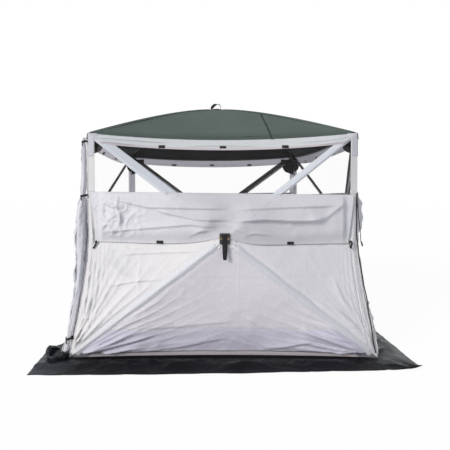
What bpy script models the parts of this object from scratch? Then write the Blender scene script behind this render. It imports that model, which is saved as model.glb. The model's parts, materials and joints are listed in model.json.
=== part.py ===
"""Hub screen tent: four walls and a domed roof, each popped out by a hub and four poles.

Metres, +Z up. The origin is on the ground at the middle of the tent, and the front wall
faces -Y. Every wall is modelled as the front wall and turned about Z to its own side.
"""
import math

import bmesh
import bpy
from mathutils import Matrix, Vector

# Cloth body
BASE_HALF = 1.200
WAIST_HALF = 1.080
EAVE_HALF = 1.085
WAIST_Z = 0.950
FLARE_POWER = 1.6
EAVE_Z = 1.770
EAVE_SAG = 0.050
EAVE_PULL = 0.050
HEM_Z = 0.006
HEM_LIFT = 0.004
HEM_PULL = 0.045
WALL_BULGE = 0.235
ROOF_RISE = 0.402
ROOF_POWER = 1.35
CLOTH = 0.0012
CORNER_GAP = 0.004
EAVE_GAP = 0.006

# Wall details
BAND_HEIGHT = 0.092
STRIP_WIDTH = 0.057
SLEEVE_HALF = 0.0375
PANEL_TOP = 1.280
FLAP_BOTTOM = 0.905
FLAP_HALF = 1.000
FLAP_STAND = 0.012
SCREEN_INSET = 0.0025
SCREEN_THICK = 0.0010
SCREEN_LOW = PANEL_TOP - 0.020
SCREEN_TOP = EAVE_Z - EAVE_SAG - 0.030
SCREEN_HALF = WAIST_HALF - 0.030
SEAM_GAP = 0.0015
HUB_RING = 0.030
WINDOW_SAG_SIDE = 0.35
DOOR_HEIGHTS = (0.16, 0.35, 0.60, 0.90, 1.28, 1.64)
EDGE_MARGIN = 0.002
CUT_NEAR = -1.60
CUT_FAR = -0.80
CUT_REACH = 1.4

# Folds in the loose cloth: amounts, and waves per metre or per turn
FLAP_SLACK = 0.010
FLAP_SECOND_FOLD = 0.006
FLAP_WAVE = 9.0
CREASE = 0.007
CREASE_FAN = 16.0
CREASE_OUTSIDE = 0.06
CREASE_FADE_LOW = 0.15
CREASE_FADE_HIGH = 0.20

# Poles
POLE_R = 0.0055
FERRULE_R = 0.0065
FERRULE_LENGTH = 0.070
POLE_INSET = 0.016
PIVOT_BACK = 0.065
TONGUE_R = 0.007
TONGUE_THICK = 0.008
TONGUE_HOLE_R = 0.0034
FERRULE_START = 0.0115
ROOF_POLE_STEPS = 7

# Corner joints
PIN_R = 0.003
CHEEK_R = 0.009
CHEEK_THICK = 0.003
CHEEK_CLEAR = 0.0003
CORE_HALF = 0.015
CORE_BEVEL = 0.004
TOP_CORE_INSET = Vector((-0.032, 0.032, -0.030))
BASE_CORE_INSET = Vector((-0.034, 0.034, 0.025))

# Hubs
WALL_REACH = 0.060
ROOF_REACH = 0.080
HUB_CORE_R = 0.023
HUB_CORE_DEPTH = 0.022
HUB_DISC_R = 0.034
HUB_DISC_THICK = 0.004
ARM_SLOT = 0.0075
ARM_THICK = 0.0035
ARM_UP = 0.004
ARM_DOWN = 0.013
ARM_INNER = 0.014
ARM_OVERHANG = 0.010

# Hub plates and straps
PLATE_WIDTH = 0.078
PLATE_HEIGHT = 0.082
PLATE_THICK = 0.004
PLATE_CORNER = 0.010
PLATE_GAP = 0.001
EYELET_R = 0.006
EYELET_X = 0.023
HOLE_CLEAR = 0.002
ROOF_PLATE_R = 0.062
STRAP_TOP = 0.030
STRAP_END = 0.157
STRAP_HALF_TOP = 0.019
STRAP_HALF_END = 0.015
STRAP_THICK = 0.003
STRAP_CHAMFER = 0.007
STRAP_STAND = 0.0053
LOOP_HALF = 0.044
LOOP_HEIGHT = 0.062
LOOP_WIDTH = 0.025
LOOP_STEPS = 10
LOOP_STAND = 0.0003

# Ground skirt, door roll, ties and zip pulls
SKIRT_HALF = 1.450
SKIRT_INNER = 1.130
SKIRT_THICK = 0.003
SKIRT_RIPPLE = 0.010
RIPPLE_WAVES = ((11.0, 4.0), (-3.0, 9.0))
ROLL_TOP = 1.730
ROLL_BOTTOM = 0.055
TIE_HEIGHTS = {"upper": 1.700, "lower": 0.150}
MIDDLE_TIE = 1.265
TIE_WIDTH = 0.022
TIE_THICK = 0.003
TIE_CLEAR = 0.007
ROLL_LOBE = 0.10
ROLL_R = 0.030
ROLL_FULLER = 0.018
ROLL_FULLEST_Z = 0.95
ROLL_FULL_REACH = 0.35
ROLL_PINCH = 0.35
PINCH_REACH = 0.05
ROLL_OUT = 0.040
ROLL_OUT_MORE = 0.019
ZIP_X = 1.012
ZIP_WIDTH = 0.009
ZIP_LENGTH = 0.047
ZIP_THICK = 0.004
ZIP_STAND = 0.018
ZIP_BODY_HEIGHT = 0.014
ZIP_TAB_WIDTH = 0.006
ZIP_CORNER = 0.002
ZIP_BELOW_FLAP = 0.008
ZIP_BELOW_SILL = 0.020

FACES = {"front": 0.0, "right": 90.0, "back": 180.0, "left": 270.0}
CORNERS = {"front_right": 0.0, "back_right": 90.0, "back_left": 180.0, "front_left": 270.0}

COLORS = {
    "cloth_grey": ((0.62, 0.62, 0.65), 0.75, 0.0),
    "cloth_green": ((0.10, 0.13, 0.115), 0.80, 0.0),
    "cloth_black": ((0.025, 0.030, 0.034), 0.55, 0.0),
    "screen": ((0.85, 0.85, 0.78), 0.80, 0.0),
    "webbing": ((0.012, 0.012, 0.014), 0.70, 0.0),
    "fibreglass": ((0.05, 0.05, 0.055), 0.35, 0.0),
    "moulded_black": ((0.015, 0.015, 0.017), 0.45, 0.0),
    "zip_metal": ((0.03, 0.03, 0.032), 0.40, 0.6),
}


def clear_scene():
    for obj in list(bpy.data.objects):
        bpy.data.objects.remove(obj, do_unlink=True)


def material(slot):
    found = bpy.data.materials.get(slot)
    if found:
        return found
    color, rough, metal = COLORS[slot]
    made = bpy.data.materials.new(slot)
    made.use_nodes = True
    shader = made.node_tree.nodes["Principled BSDF"]
    shader.inputs["Base Color"].default_value = (*color, 1.0)
    shader.inputs["Roughness"].default_value = rough
    shader.inputs["Metallic"].default_value = metal
    return made


def add_object(name, mesh, slot, matrix=None, smooth=True):
    obj = bpy.data.objects.new(name, mesh)
    bpy.context.scene.collection.objects.link(obj)
    if not mesh.materials:
        mesh.materials.append(material(slot))
    if matrix is not None:
        obj.matrix_world = matrix
    if smooth:
        mesh.shade_smooth()
        mesh.set_sharp_from_angle(angle=math.radians(35))
    return obj


def mesh_of(bm):
    bmesh.ops.recalc_face_normals(bm, faces=bm.faces)
    mesh = bpy.data.meshes.new("shape")
    bm.to_mesh(mesh)
    bm.free()
    return mesh


def combine(first, second, operation):
    """The mesh that an exact Boolean of two meshes leaves."""
    scene = bpy.context.scene.collection
    base = bpy.data.objects.new("base", first)
    tool = bpy.data.objects.new("tool", second)
    scene.objects.link(base)
    scene.objects.link(tool)
    step = base.modifiers.new("step", "BOOLEAN")
    step.object = tool
    step.operation = operation
    step.solver = "EXACT"
    graph = bpy.context.evaluated_depsgraph_get()
    result = bpy.data.meshes.new_from_object(base.evaluated_get(graph))
    bpy.data.objects.remove(base)
    bpy.data.objects.remove(tool)
    return result


def union(meshes):
    whole = meshes[0]
    for mesh in meshes[1:]:
        whole = combine(whole, mesh, "UNION")
    return whole


def turned(mesh, matrix):
    mesh.transform(matrix)
    return mesh


def box(size, center):
    bm = bmesh.new()
    bmesh.ops.create_cube(bm, size=1.0)
    bmesh.ops.scale(bm, vec=size, verts=bm.verts)
    bmesh.ops.translate(bm, vec=center, verts=bm.verts)
    return mesh_of(bm)


def bevelled_cube(half, bevel):
    bm = bmesh.new()
    bmesh.ops.create_cube(bm, size=2 * half)
    bmesh.ops.bevel(bm, geom=list(bm.edges), offset=bevel, segments=1, affect="EDGES")
    return mesh_of(bm)


def turned_profile(profile, sides):
    """A closed solid turned about +X from (distance along X, radius) pairs."""
    bm = bmesh.new()
    rings = []
    for along, radius in profile:
        ring = []
        for k in range(sides):
            a = 2 * math.pi * k / sides
            ring.append(bm.verts.new((along, radius * math.cos(a), radius * math.sin(a))))
        rings.append(ring)
    bridge_rings(bm, rings)
    return mesh_of(bm)


def bridge_rings(bm, rings):
    """Skin between closed rings of equal counts, and cap both ends."""
    count = len(rings[0])
    for low, high in zip(rings, rings[1:]):
        for k in range(count):
            n = (k + 1) % count
            bm.faces.new((low[k], low[n], high[n], high[k]))
    bm.faces.new(rings[0])
    bm.faces.new(rings[-1])


def prism(outline, low, high, axis="Y"):
    """An outline of (x, z) points extruded along Y, or of (x, y) points along Z."""
    bm = bmesh.new()

    def place(p, level):
        return (p[0], level, p[1]) if axis == "Y" else (p[0], p[1], level)

    near = [bm.verts.new(place(p, low)) for p in outline]
    far = [bm.verts.new(place(p, high)) for p in outline]
    count = len(outline)
    for k in range(count):
        n = (k + 1) % count
        bm.faces.new((near[k], near[n], far[n], far[k]))
    bm.faces.new(near)
    bm.faces.new(far)
    return mesh_of(bm)


def arc(center, radius, start, end, steps):
    points = []
    for k in range(steps + 1):
        a = math.radians(start + (end - start) * k / steps)
        points.append((center[0] + radius * math.cos(a), center[1] + radius * math.sin(a)))
    return points


def rounded_rectangle(width, height, corner, steps=3):
    points = []
    x, z = width / 2 - corner, height / 2 - corner
    for cx, cz, start in ((x, z, 0), (-x, z, 90), (-x, -z, 180), (x, -z, 270)):
        points += arc((cx, cz), corner, start, start + 90, steps)
    return points


def capsule(length, radius, steps=3):
    """The outline of a bar with round ends, from the origin to (length, 0)."""
    return arc((0, 0), radius, 90, 270, steps) + arc((length, 0), radius, -90, 90, steps)


def shell(grid, wrap):
    """A closed thin solid from rows of (inner point, outer point) pairs."""
    bm = bmesh.new()
    inner = [[bm.verts.new(pair[0]) for pair in row] for row in grid]
    outer = [[bm.verts.new(pair[1]) for pair in row] for row in grid]
    rows, cols = len(grid), len(grid[0])
    last = cols if wrap else cols - 1
    for i in range(rows - 1):
        for j in range(last):
            n = (j + 1) % cols
            bm.faces.new((outer[i][j], outer[i][n], outer[i + 1][n], outer[i + 1][j]))
            bm.faces.new((inner[i][j], inner[i + 1][j], inner[i + 1][n], inner[i][n]))
    for i in (0, rows - 1):
        for j in range(last):
            n = (j + 1) % cols
            bm.faces.new((inner[i][j], inner[i][n], outer[i][n], outer[i][j]))
    if not wrap:
        for j in (0, cols - 1):
            for i in range(rows - 1):
                bm.faces.new((inner[i][j], outer[i][j], outer[i + 1][j], inner[i + 1][j]))
    return mesh_of(bm)


def quarter(degrees):
    return Matrix.Rotation(math.radians(degrees), 4, "Z")


def frame_matrix(origin, along, side):
    """A matrix with local +X along a direction and local +Y along a square side."""
    x = along.normalized()
    z = x.cross(side).normalized()
    y = z.cross(x)
    turn = Matrix((x, y, z)).transposed().to_4x4()
    return Matrix.Translation(origin) @ turn


# The cloth's surfaces

def corner_half(z):
    """Half the tent's width at height z along a corner edge, which flares at the foot."""
    low = 1.0 - z / WAIST_Z
    if low > 0:
        return WAIST_HALF + (BASE_HALF - WAIST_HALF) * low ** FLARE_POWER
    return WAIST_HALF + (EAVE_HALF - WAIST_HALF) * (z - WAIST_Z) / (EAVE_Z - WAIST_Z)


def middle(a):
    """1 at the middle of an edge and 0 at its corners, for a from -1 to 1."""
    return 1.0 - a * a


def eave_point(a):
    return Vector((EAVE_HALF * a, -(EAVE_HALF - EAVE_PULL * middle(a)), EAVE_Z - EAVE_SAG * middle(a)))


def hem_point(a):
    return Vector((BASE_HALF * a, -(BASE_HALF - HEM_PULL * middle(a)), HEM_Z + HEM_LIFT * middle(a)))


TOP_CORNER = Vector((EAVE_HALF, -EAVE_HALF, EAVE_Z))
BASE_CORNER = Vector((BASE_HALF, -BASE_HALF, HEM_Z))
WALL_NORMAL = Vector((0, -(EAVE_Z - HEM_Z), BASE_HALF - EAVE_HALF)).normalized()
ROOF_NORMAL = Vector((0, 0, 1))
CROSSING = BASE_HALF / (BASE_HALF + EAVE_HALF)
BASE_MIDDLE = Vector((0, BASE_CORNER.y, BASE_CORNER.z))
TOP_MIDDLE = Vector((0, TOP_CORNER.y, TOP_CORNER.z))
WALL_MIDDLE = BASE_MIDDLE.lerp(TOP_MIDDLE, CROSSING)
WALL_APEX = WALL_MIDDLE + WALL_NORMAL * WALL_BULGE
ROOF_APEX = Vector((0, 0, EAVE_Z + ROOF_RISE))


def wall_border(steps):
    """Points round the wall's edge, starting at the top left corner, clockwise from outside."""
    points = []
    for k in range(steps):
        points.append(eave_point(-1 + 2 * k / steps))
    for k in range(steps):
        z = EAVE_Z + (HEM_Z - EAVE_Z) * k / steps
        half = corner_half(z)
        points.append(Vector((half, -half, z)))
    for k in range(steps):
        points.append(hem_point(1 - 2 * k / steps))
    for k in range(steps):
        z = HEM_Z + (EAVE_Z - HEM_Z) * k / steps
        half = corner_half(z)
        points.append(Vector((-half, -half, z)))
    return points


def held_in(p):
    """A border point drawn in a little, so that neighbouring cloths keep apart."""
    x = max(-abs(p.y) + CORNER_GAP, min(abs(p.y) - CORNER_GAP, p.x))
    z = min(p.z, EAVE_Z - EAVE_SAG * middle(p.x / EAVE_HALF) - EAVE_GAP) if p.z > WAIST_Z else p.z
    return Vector((x, p.y, z))


def wall_sheet(inset, thick, steps=8, rings=5):
    """The whole wall as one thin cone of cloth, from a small ring at the hub to its edges."""
    grid = []
    for k in range(rings + 1):
        row = []
        for border in wall_border(steps):
            edge = held_in(border)
            reach = (edge - WALL_APEX).length
            first = HUB_RING / reach
            part = first + (1 - first) * k / rings
            p = WALL_APEX.lerp(edge, part)
            row.append((p - WALL_NORMAL * (inset + thick), p - WALL_NORMAL * inset))
        grid.append(row)
    return shell(grid, wrap=True)


def wall_depth(x, z):
    """The wall cloth's y at a point seen from the front, found along the ray from the hub."""
    dx, dz = x, z - WALL_APEX.z
    low, high = 1.0, 40.0
    for _ in range(40):
        mid = (low + high) / 2
        ex, ez = mid * dx, WALL_APEX.z + mid * dz
        top = EAVE_Z - EAVE_SAG * middle(min(1.0, abs(ex) / EAVE_HALF))
        if abs(ex) < corner_half(ez) and HEM_Z < ez < top:
            low = mid
        else:
            high = mid
    ex, ez = low * dx, WALL_APEX.z + low * dz
    half = corner_half(ez)
    if abs(ex) > half - EDGE_MARGIN:
        edge_y = -half
    elif ez > WALL_APEX.z:
        edge_y = eave_point(ex / EAVE_HALF).y
    else:
        edge_y = hem_point(ex / BASE_HALF).y
    return WALL_APEX.y + (edge_y - WALL_APEX.y) / low


def line_of(a, b, offset):
    """The line from a to b moved sideways, as a point and a direction in (x, z)."""
    direction = Vector((b[0] - a[0], b[1] - a[1])).normalized()
    side = Vector((-direction.y, direction.x))
    return Vector(a) + side * offset, direction


def meet(first, second):
    (p, d), (q, e) = first, second
    cross = d.x * e.y - d.y * e.x
    t = ((q.x - p.x) * e.y - (q.y - p.y) * e.x) / cross
    return p + d * t


TOP_XZ = (EAVE_HALF, EAVE_Z)
BASE_XZ = (BASE_HALF, HEM_Z)
APEX_XZ = (0.0, WALL_APEX.z)


def mirrored(points):
    return [(-p[0], p[1]) for p in reversed(points)]


def middle_window():
    """The window between the two upper sleeves, under the eave band."""
    sleeve = line_of(APEX_XZ, TOP_XZ, SLEEVE_HALF)
    sill = (Vector((0, PANEL_TOP)), Vector((1, 0)))
    low = meet(sleeve, sill)
    points = [(-low.x, low.y), (low.x, low.y)]
    band = EAVE_Z - EAVE_SAG * WINDOW_SAG_SIDE - BAND_HEIGHT
    high = meet(sleeve, (Vector((0, band)), Vector((1, 0))))
    for k in range(5):
        a = 1 - 2 * k / 4
        points.append((a * high.x, band - EAVE_SAG * (1 - WINDOW_SAG_SIDE) * middle(a)))
    return points


def side_window():
    """The window between an upper sleeve and the right corner strip, over the panel."""
    sleeve = line_of(APEX_XZ, TOP_XZ, -SLEEVE_HALF)
    strip = (Vector((WAIST_HALF - STRIP_WIDTH, 0)), Vector((0, 1)))
    sill = (Vector((0, PANEL_TOP)), Vector((1, 0)))
    return [tuple(meet(sleeve, sill)), tuple(meet(strip, sill)), tuple(meet(sleeve, strip))]


def door_opening():
    """The side of the left wall that the rolled door leaves open, from hub to corner strip."""
    upper = line_of(APEX_XZ, TOP_XZ, -SLEEVE_HALF)
    lower = line_of(APEX_XZ, BASE_XZ, SLEEVE_HALF)
    points = [tuple(meet(upper, lower))]
    strip = [(corner_half(z) - STRIP_WIDTH, z) for z in DOOR_HEIGHTS]
    return points + strip


def cut_all(mesh, cutters):
    for cutter in cutters:
        mesh = combine(mesh, cutter, "DIFFERENCE")
    return mesh


def through(outline):
    return prism(outline, CUT_NEAR, CUT_FAR)


def hub_hole():
    """The plate's opening in the cloth, with a tail that lets the strap pass."""
    half_w = PLATE_WIDTH / 2 + HOLE_CLEAR
    half_h = PLATE_HEIGHT / 2 + HOLE_CLEAR
    tail = STRAP_HALF_TOP + HOLE_CLEAR
    z = WALL_APEX.z
    low = z - STRAP_END - 2 * HOLE_CLEAR
    outline = [(half_w, z + half_h), (-half_w, z + half_h), (-half_w, z - half_h), (-tail, z - half_h)]
    outline += [(-tail, low), (tail, low), (tail, z - half_h), (half_w, z - half_h)]
    return through(outline)


def above(z):
    return box((4, 4, 2), (0, 0, z + 1))


def below(z):
    return box((4, 4, 2), (0, 0, z - 1))


def windows():
    return [through(middle_window()), through(side_window()), through(mirrored(side_window()))]


def folded_flap(lift):
    """The window cover, hanging folded down over the panel, with its slack folds."""
    columns, rows = 20, 6
    grid = []
    for i in range(rows + 1):
        z = PANEL_TOP - SEAM_GAP + (FLAP_BOTTOM - PANEL_TOP) * i / rows
        down = i / rows
        row = []
        for j in range(columns + 1):
            x = -FLAP_HALF + 2 * FLAP_HALF * j / columns
            slack = math.sin(math.pi * down) * (0.6 + 0.4 * math.cos(x * FLAP_WAVE))
            fold = FLAP_SLACK * slack + FLAP_SECOND_FOLD * math.sin(math.pi * down * 2) ** 2
            p = Vector((x, wall_depth(x, z), z)) + WALL_NORMAL * (lift + fold)
            row.append((p, p + WALL_NORMAL * CLOTH))
        grid.append(row)
    return shell(grid, wrap=False)


def creased(mesh):
    """Push a panel's outside outwards in creases that run from its foot corners."""
    for vert in mesh.vertices:
        p = vert.co
        if p.z > PANEL_TOP:
            continue
        below_flap = max(0.0, FLAP_BOTTOM - p.z)
        ends = min(1.0, abs(p.z - HEM_Z) / CREASE_FADE_LOW, below_flap / CREASE_FADE_HIGH)
        from_corner = math.atan2(p.z, BASE_HALF + CREASE_OUTSIDE - abs(p.x))
        fold = 0.5 + 0.5 * math.cos(from_corner * CREASE_FAN)
        vert.co = p + WALL_NORMAL * (CREASE * fold * ends * min(1.0, abs(p.x)))
    return mesh


def build_front_wall():
    frame = combine(wall_sheet(0.0, CLOTH), above(PANEL_TOP), "INTERSECT")
    add_object("front_upper_frame", cut_all(frame, windows()), "cloth_grey", smooth=False)
    panel = combine(creased(wall_sheet(0.0, CLOTH, 9, 6)), below(PANEL_TOP - SEAM_GAP), "INTERSECT")
    add_object("front_lower_panel", cut_all(panel, [hub_hole()]), "cloth_grey", smooth=False)
    flap = cut_all(folded_flap(FLAP_STAND), [hub_hole()])
    add_object("front_window_flap", flap, "cloth_grey", smooth=False)


def build_other_walls():
    for face in ("right", "back", "left"):
        wall = wall_sheet(0.0, CLOTH)
        cutters = [hub_hole(), through(middle_window()), through(mirrored(side_window()))]
        cutters.append(through(door_opening() if face == "left" else side_window()))
        mesh = cut_all(wall, cutters)
        add_object(face + "_wall_cloth", mesh, "cloth_grey", quarter(FACES[face]), smooth=False)


def build_screens():
    """One sheet of insect screen on each wall, sewn behind the frame's windows."""
    height = SCREEN_TOP - SCREEN_LOW
    span = box((2 * SCREEN_HALF, 4, height), (0, 0, SCREEN_LOW + height / 2))
    whole = combine(wall_sheet(SCREEN_INSET, SCREEN_THICK), span, "INTERSECT")
    half = combine(whole.copy(), through(left_screen_cut()), "DIFFERENCE")
    for face, degrees in FACES.items():
        mesh = half if face == "left" else whole
        add_object(face + "_screen", mesh, "screen", quarter(degrees), smooth=False)


def left_screen_cut():
    """The part of the left screen that is rolled up with the door."""
    sleeve = line_of(APEX_XZ, TOP_XZ, 0.0)
    low = meet(sleeve, (Vector((0, SCREEN_LOW - 0.1)), Vector((1, 0))))
    high = meet(sleeve, (Vector((0, EAVE_Z + 0.1)), Vector((1, 0))))
    return [(low.x, low.y), (CUT_REACH, low.y), (CUT_REACH, high.y), (high.x, high.y)]


def roof_point(a, b, part):
    """The roof cloth between the hub and an eave point, part 0 at the hub and 1 at the eave."""
    edge = quarter(b) @ eave_point(a)
    p = ROOF_APEX.lerp(edge, part)
    drop = EAVE_SAG * middle(a) * part * part
    p.z = EAVE_Z - drop + ROOF_RISE * (1 - part ** ROOF_POWER)
    return p


def build_roof():
    steps, rings = 6, 6
    grid = []
    for k in range(rings + 1):
        row = []
        for face in ("front", "right", "back", "left"):
            for j in range(steps):
                a = -1 + 2 * j / steps
                reach = (quarter(FACES[face]) @ eave_point(a)).to_2d().length
                first = (ROOF_PLATE_R + HOLE_CLEAR) / reach
                part = first + (1 - first) * k / rings
                p = roof_point(a, FACES[face], part)
                row.append((p - ROOF_NORMAL * CLOTH, p))
        grid.append(row)
    add_object("roof_canopy", shell(grid, wrap=True), "cloth_green")


# Poles, in the front right corner's frame

def wall_pole_ends(corner):
    """The corner pivot, the hub end and the pivot's axis of a front wall pole."""
    ridge = (WALL_APEX - corner).normalized()
    pivot = corner + ridge * PIVOT_BACK - WALL_NORMAL * POLE_INSET
    end = WALL_APEX - ridge * WALL_REACH - WALL_NORMAL * POLE_INSET
    flat = (ridge - WALL_NORMAL * ridge.dot(WALL_NORMAL)).normalized()
    return pivot, end, flat.cross(WALL_NORMAL)


def roof_pole_point(part):
    """A point on the front right roof pole, part 0 at the hub's axis and 1 at the corner."""
    half = EAVE_HALF * part
    z = EAVE_Z + ROOF_RISE * (1 - part ** ROOF_POWER) - POLE_INSET
    return Vector((half, -half, z))


def roof_pole_parts():
    length = EAVE_HALF * math.sqrt(2)
    return 1 - PIVOT_BACK / length, ROOF_REACH / length


def roof_pole_ends():
    outer, inner = roof_pole_parts()
    return roof_pole_point(outer), roof_pole_point(inner), Vector((1, 1, 0)).normalized()


def tongue():
    """The flat eye at a pole's corner end, lying across the pivot's axis, which is Y."""
    bar = prism(capsule(FERRULE_START + 0.006, TONGUE_R), -TONGUE_THICK / 2, TONGUE_THICK / 2)
    hole = prism(arc((0, 0), TONGUE_HOLE_R, 0, 315, 7), -TONGUE_THICK, TONGUE_THICK)
    return combine(bar, hole, "DIFFERENCE")


def straight_pole(length):
    """A rod along +X with a ferrule at each end, its pivot at the origin."""
    inner = FERRULE_START + FERRULE_LENGTH
    outer = length - FERRULE_LENGTH
    profile = [(FERRULE_START, FERRULE_R), (inner, FERRULE_R), (inner + 0.001, POLE_R)]
    profile += [(outer - 0.001, POLE_R), (outer, FERRULE_R), (length, FERRULE_R)]
    profile += [(length + 0.004, FERRULE_R * 0.5)]
    return combine(tongue(), turned_profile(profile, 8), "UNION")


def bowed_pole():
    """The roof pole: a rod along the roof's diagonal, bowed by the tension of the cloth."""
    outer, inner = roof_pole_parts()
    pivot = roof_pole_point(outer)
    across = Vector((1, 1, 0)).normalized()
    bm = bmesh.new()
    rings = []
    total = (outer - inner) * EAVE_HALF * math.sqrt(2)
    marks = [FERRULE_START, FERRULE_LENGTH, FERRULE_LENGTH + 0.001]
    for k in range(1, ROOF_POLE_STEPS):
        marks.append(FERRULE_LENGTH + (total - 2 * FERRULE_LENGTH) * k / ROOF_POLE_STEPS)
    marks += [total - FERRULE_LENGTH - 0.001, total - FERRULE_LENGTH, total]
    for mark in marks:
        part = outer + (inner - outer) * mark / total
        here = roof_pole_point(part)
        ahead = roof_pole_point(part - 0.01)
        along = (ahead - here).normalized()
        up = along.cross(across).normalized()
        ferrule = mark <= FERRULE_LENGTH or mark >= total - FERRULE_LENGTH
        radius = FERRULE_R if ferrule else POLE_R
        ring = []
        for s in range(8):
            a = 2 * math.pi * s / 8
            spoke = (across * math.cos(a) + up * math.sin(a)) * radius
            ring.append(bm.verts.new(here - pivot + spoke))
        rings.append(ring)
    bridge_rings(bm, rings)
    rod = mesh_of(bm)
    along = (roof_pole_point(outer - 0.01) - pivot).normalized()
    eye = turned(tongue(), frame_matrix(Vector((0, 0, 0)), along, across))
    return combine(eye, rod, "UNION")


def pole_matrix(corner):
    pivot, end, axis = wall_pole_ends(corner)
    return frame_matrix(pivot, end - pivot, axis)


def build_poles():
    lengths = {}
    for level, corner in (("upper", TOP_CORNER), ("lower", BASE_CORNER)):
        pivot, end, axis = wall_pole_ends(corner)
        lengths[level] = (end - pivot).length
        mesh = straight_pole(lengths[level])
        for face, degrees in FACES.items():
            for side, sign in (("right", 1), ("left", -1)):
                flip = Vector((sign * corner.x, corner.y, corner.z))
                place = quarter(degrees) @ pole_matrix(flip)
                add_object(f"{face}_pole_{level}_{side}", mesh, "fibreglass", place)
    bowed = bowed_pole()
    pivot = roof_pole_ends()[0]
    for name, degrees in CORNERS.items():
        place = quarter(degrees) @ Matrix.Translation(pivot)
        add_object("roof_pole_" + name, bowed, "fibreglass", place)


# Corner joints

def clevis(pivot, axis, core):
    """Two cheeks and a pin round a pole's eye, running back into the joint's core."""
    back = core - pivot
    back -= axis * back.dot(axis)
    place = frame_matrix(pivot, back, axis)
    near = TONGUE_THICK / 2 + CHEEK_CLEAR
    outline = capsule(back.length, CHEEK_R)
    pieces = []
    for low in (near, -near - CHEEK_THICK):
        pieces.append(turned(prism(outline, low, low + CHEEK_THICK), place))
    reach = near + CHEEK_THICK - 0.0005
    pin = prism(arc((0, 0), PIN_R, 0, 315, 7), -reach, reach)
    pieces.append(turned(pin, place))
    return pieces


def corner_joint(core, pivots):
    block = turned(bevelled_cube(CORE_HALF, CORE_BEVEL), Matrix.Translation(core))
    pieces = [block]
    for pivot, axis in pivots:
        pieces += clevis(pivot, axis, core)
    return union(pieces)


def swap_sides(v):
    """The mirror image of a point in the vertical plane through the front right corner."""
    return Vector((-v.y, -v.x, v.z))


def build_corner_joints():
    levels = (("top", TOP_CORNER, TOP_CORE_INSET), ("base", BASE_CORNER, BASE_CORE_INSET))
    for level, corner, inset in levels:
        pivot, _, axis = wall_pole_ends(corner)
        pivots = [(pivot, axis), (swap_sides(pivot), swap_sides(axis))]
        if level == "top":
            roof_pivot, _, roof_axis = roof_pole_ends()
            pivots.append((roof_pivot, roof_axis))
        mesh = corner_joint(corner + inset, pivots)
        for name, degrees in CORNERS.items():
            add_object(f"{level}_corner_joint_{name}", mesh, "moulded_black", quarter(degrees))


# Hubs, with local +Z out of the face and +Y up the face

def hub_mesh(directions, reach, lift):
    """A core and disc with four forked arms; lift is the arms' height over the pole ends."""
    top = lift
    core = [(-HUB_CORE_DEPTH, HUB_CORE_R), (top, HUB_CORE_R)]
    disc = [(top - HUB_DISC_THICK, HUB_DISC_R), (top, HUB_DISC_R)]
    upright = Matrix.Rotation(math.radians(-90), 4, "Y")
    pieces = [turned(turned_profile(core, 12), upright), turned(turned_profile(disc, 16), upright)]
    length = reach + ARM_OVERHANG - ARM_INNER
    for direction in directions:
        angle = math.atan2(direction.y, direction.x)
        turn = Matrix.Rotation(angle, 4, "Z")
        for side in (1, -1):
            across = side * (ARM_SLOT + ARM_THICK / 2)
            center = (ARM_INNER + length / 2, across, (ARM_UP - ARM_DOWN) / 2)
            pieces.append(turned(box((length, ARM_THICK, ARM_UP + ARM_DOWN), center), turn))
    return union(pieces)


def hub_place(apex, normal, level):
    """The matrix of a hub whose pole ends lie a given depth under the apex."""
    x = Vector((1, 0, 0))
    return frame_matrix(apex - normal * level, x, normal.cross(x))


def pole_end_depth(apex, end, normal):
    return (apex - end).dot(normal)


def plate_mesh(round_plate):
    if round_plate:
        outline = arc((0, 0), ROOF_PLATE_R, 0, 345, 23)
    else:
        outline = rounded_rectangle(PLATE_WIDTH, PLATE_HEIGHT, PLATE_CORNER)
    plate = prism(outline, 0, PLATE_THICK, axis="Z")
    for x in (-EYELET_X, EYELET_X):
        hole = prism(arc((x, 0), EYELET_R, 0, 330, 11), -PLATE_THICK, 2 * PLATE_THICK, axis="Z")
        plate = combine(plate, hole, "DIFFERENCE")
    return plate


def strap_mesh():
    """A webbing tail that hangs down from a hinge line at its origin, along local -Z."""
    drop = STRAP_TOP + STRAP_END
    outline = [(-STRAP_HALF_TOP, 0), (STRAP_HALF_TOP, 0), (STRAP_HALF_TOP, -drop * 0.6)]
    outline += [(STRAP_HALF_END, -drop + STRAP_CHAMFER), (STRAP_HALF_END - STRAP_CHAMFER, -drop)]
    outline += [(STRAP_CHAMFER - STRAP_HALF_END, -drop), (-STRAP_HALF_END, -drop + STRAP_CHAMFER)]
    outline += [(-STRAP_HALF_TOP, -drop * 0.6)]
    return prism(outline, -STRAP_THICK, 0)


def loop_mesh():
    """A webbing loop that stands on the roof plate, its feet apart along X."""
    outer, inner = [], []
    for k in range(LOOP_STEPS + 1):
        a = math.pi * k / LOOP_STEPS
        outer.append((LOOP_HALF * math.cos(a), LOOP_HEIGHT * math.sin(a)))
        thin = STRAP_THICK
        inner.append(((LOOP_HALF - thin) * math.cos(a), (LOOP_HEIGHT - thin) * math.sin(a)))
    return prism(outer + inner[::-1], -LOOP_WIDTH / 2, LOOP_WIDTH / 2)


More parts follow.
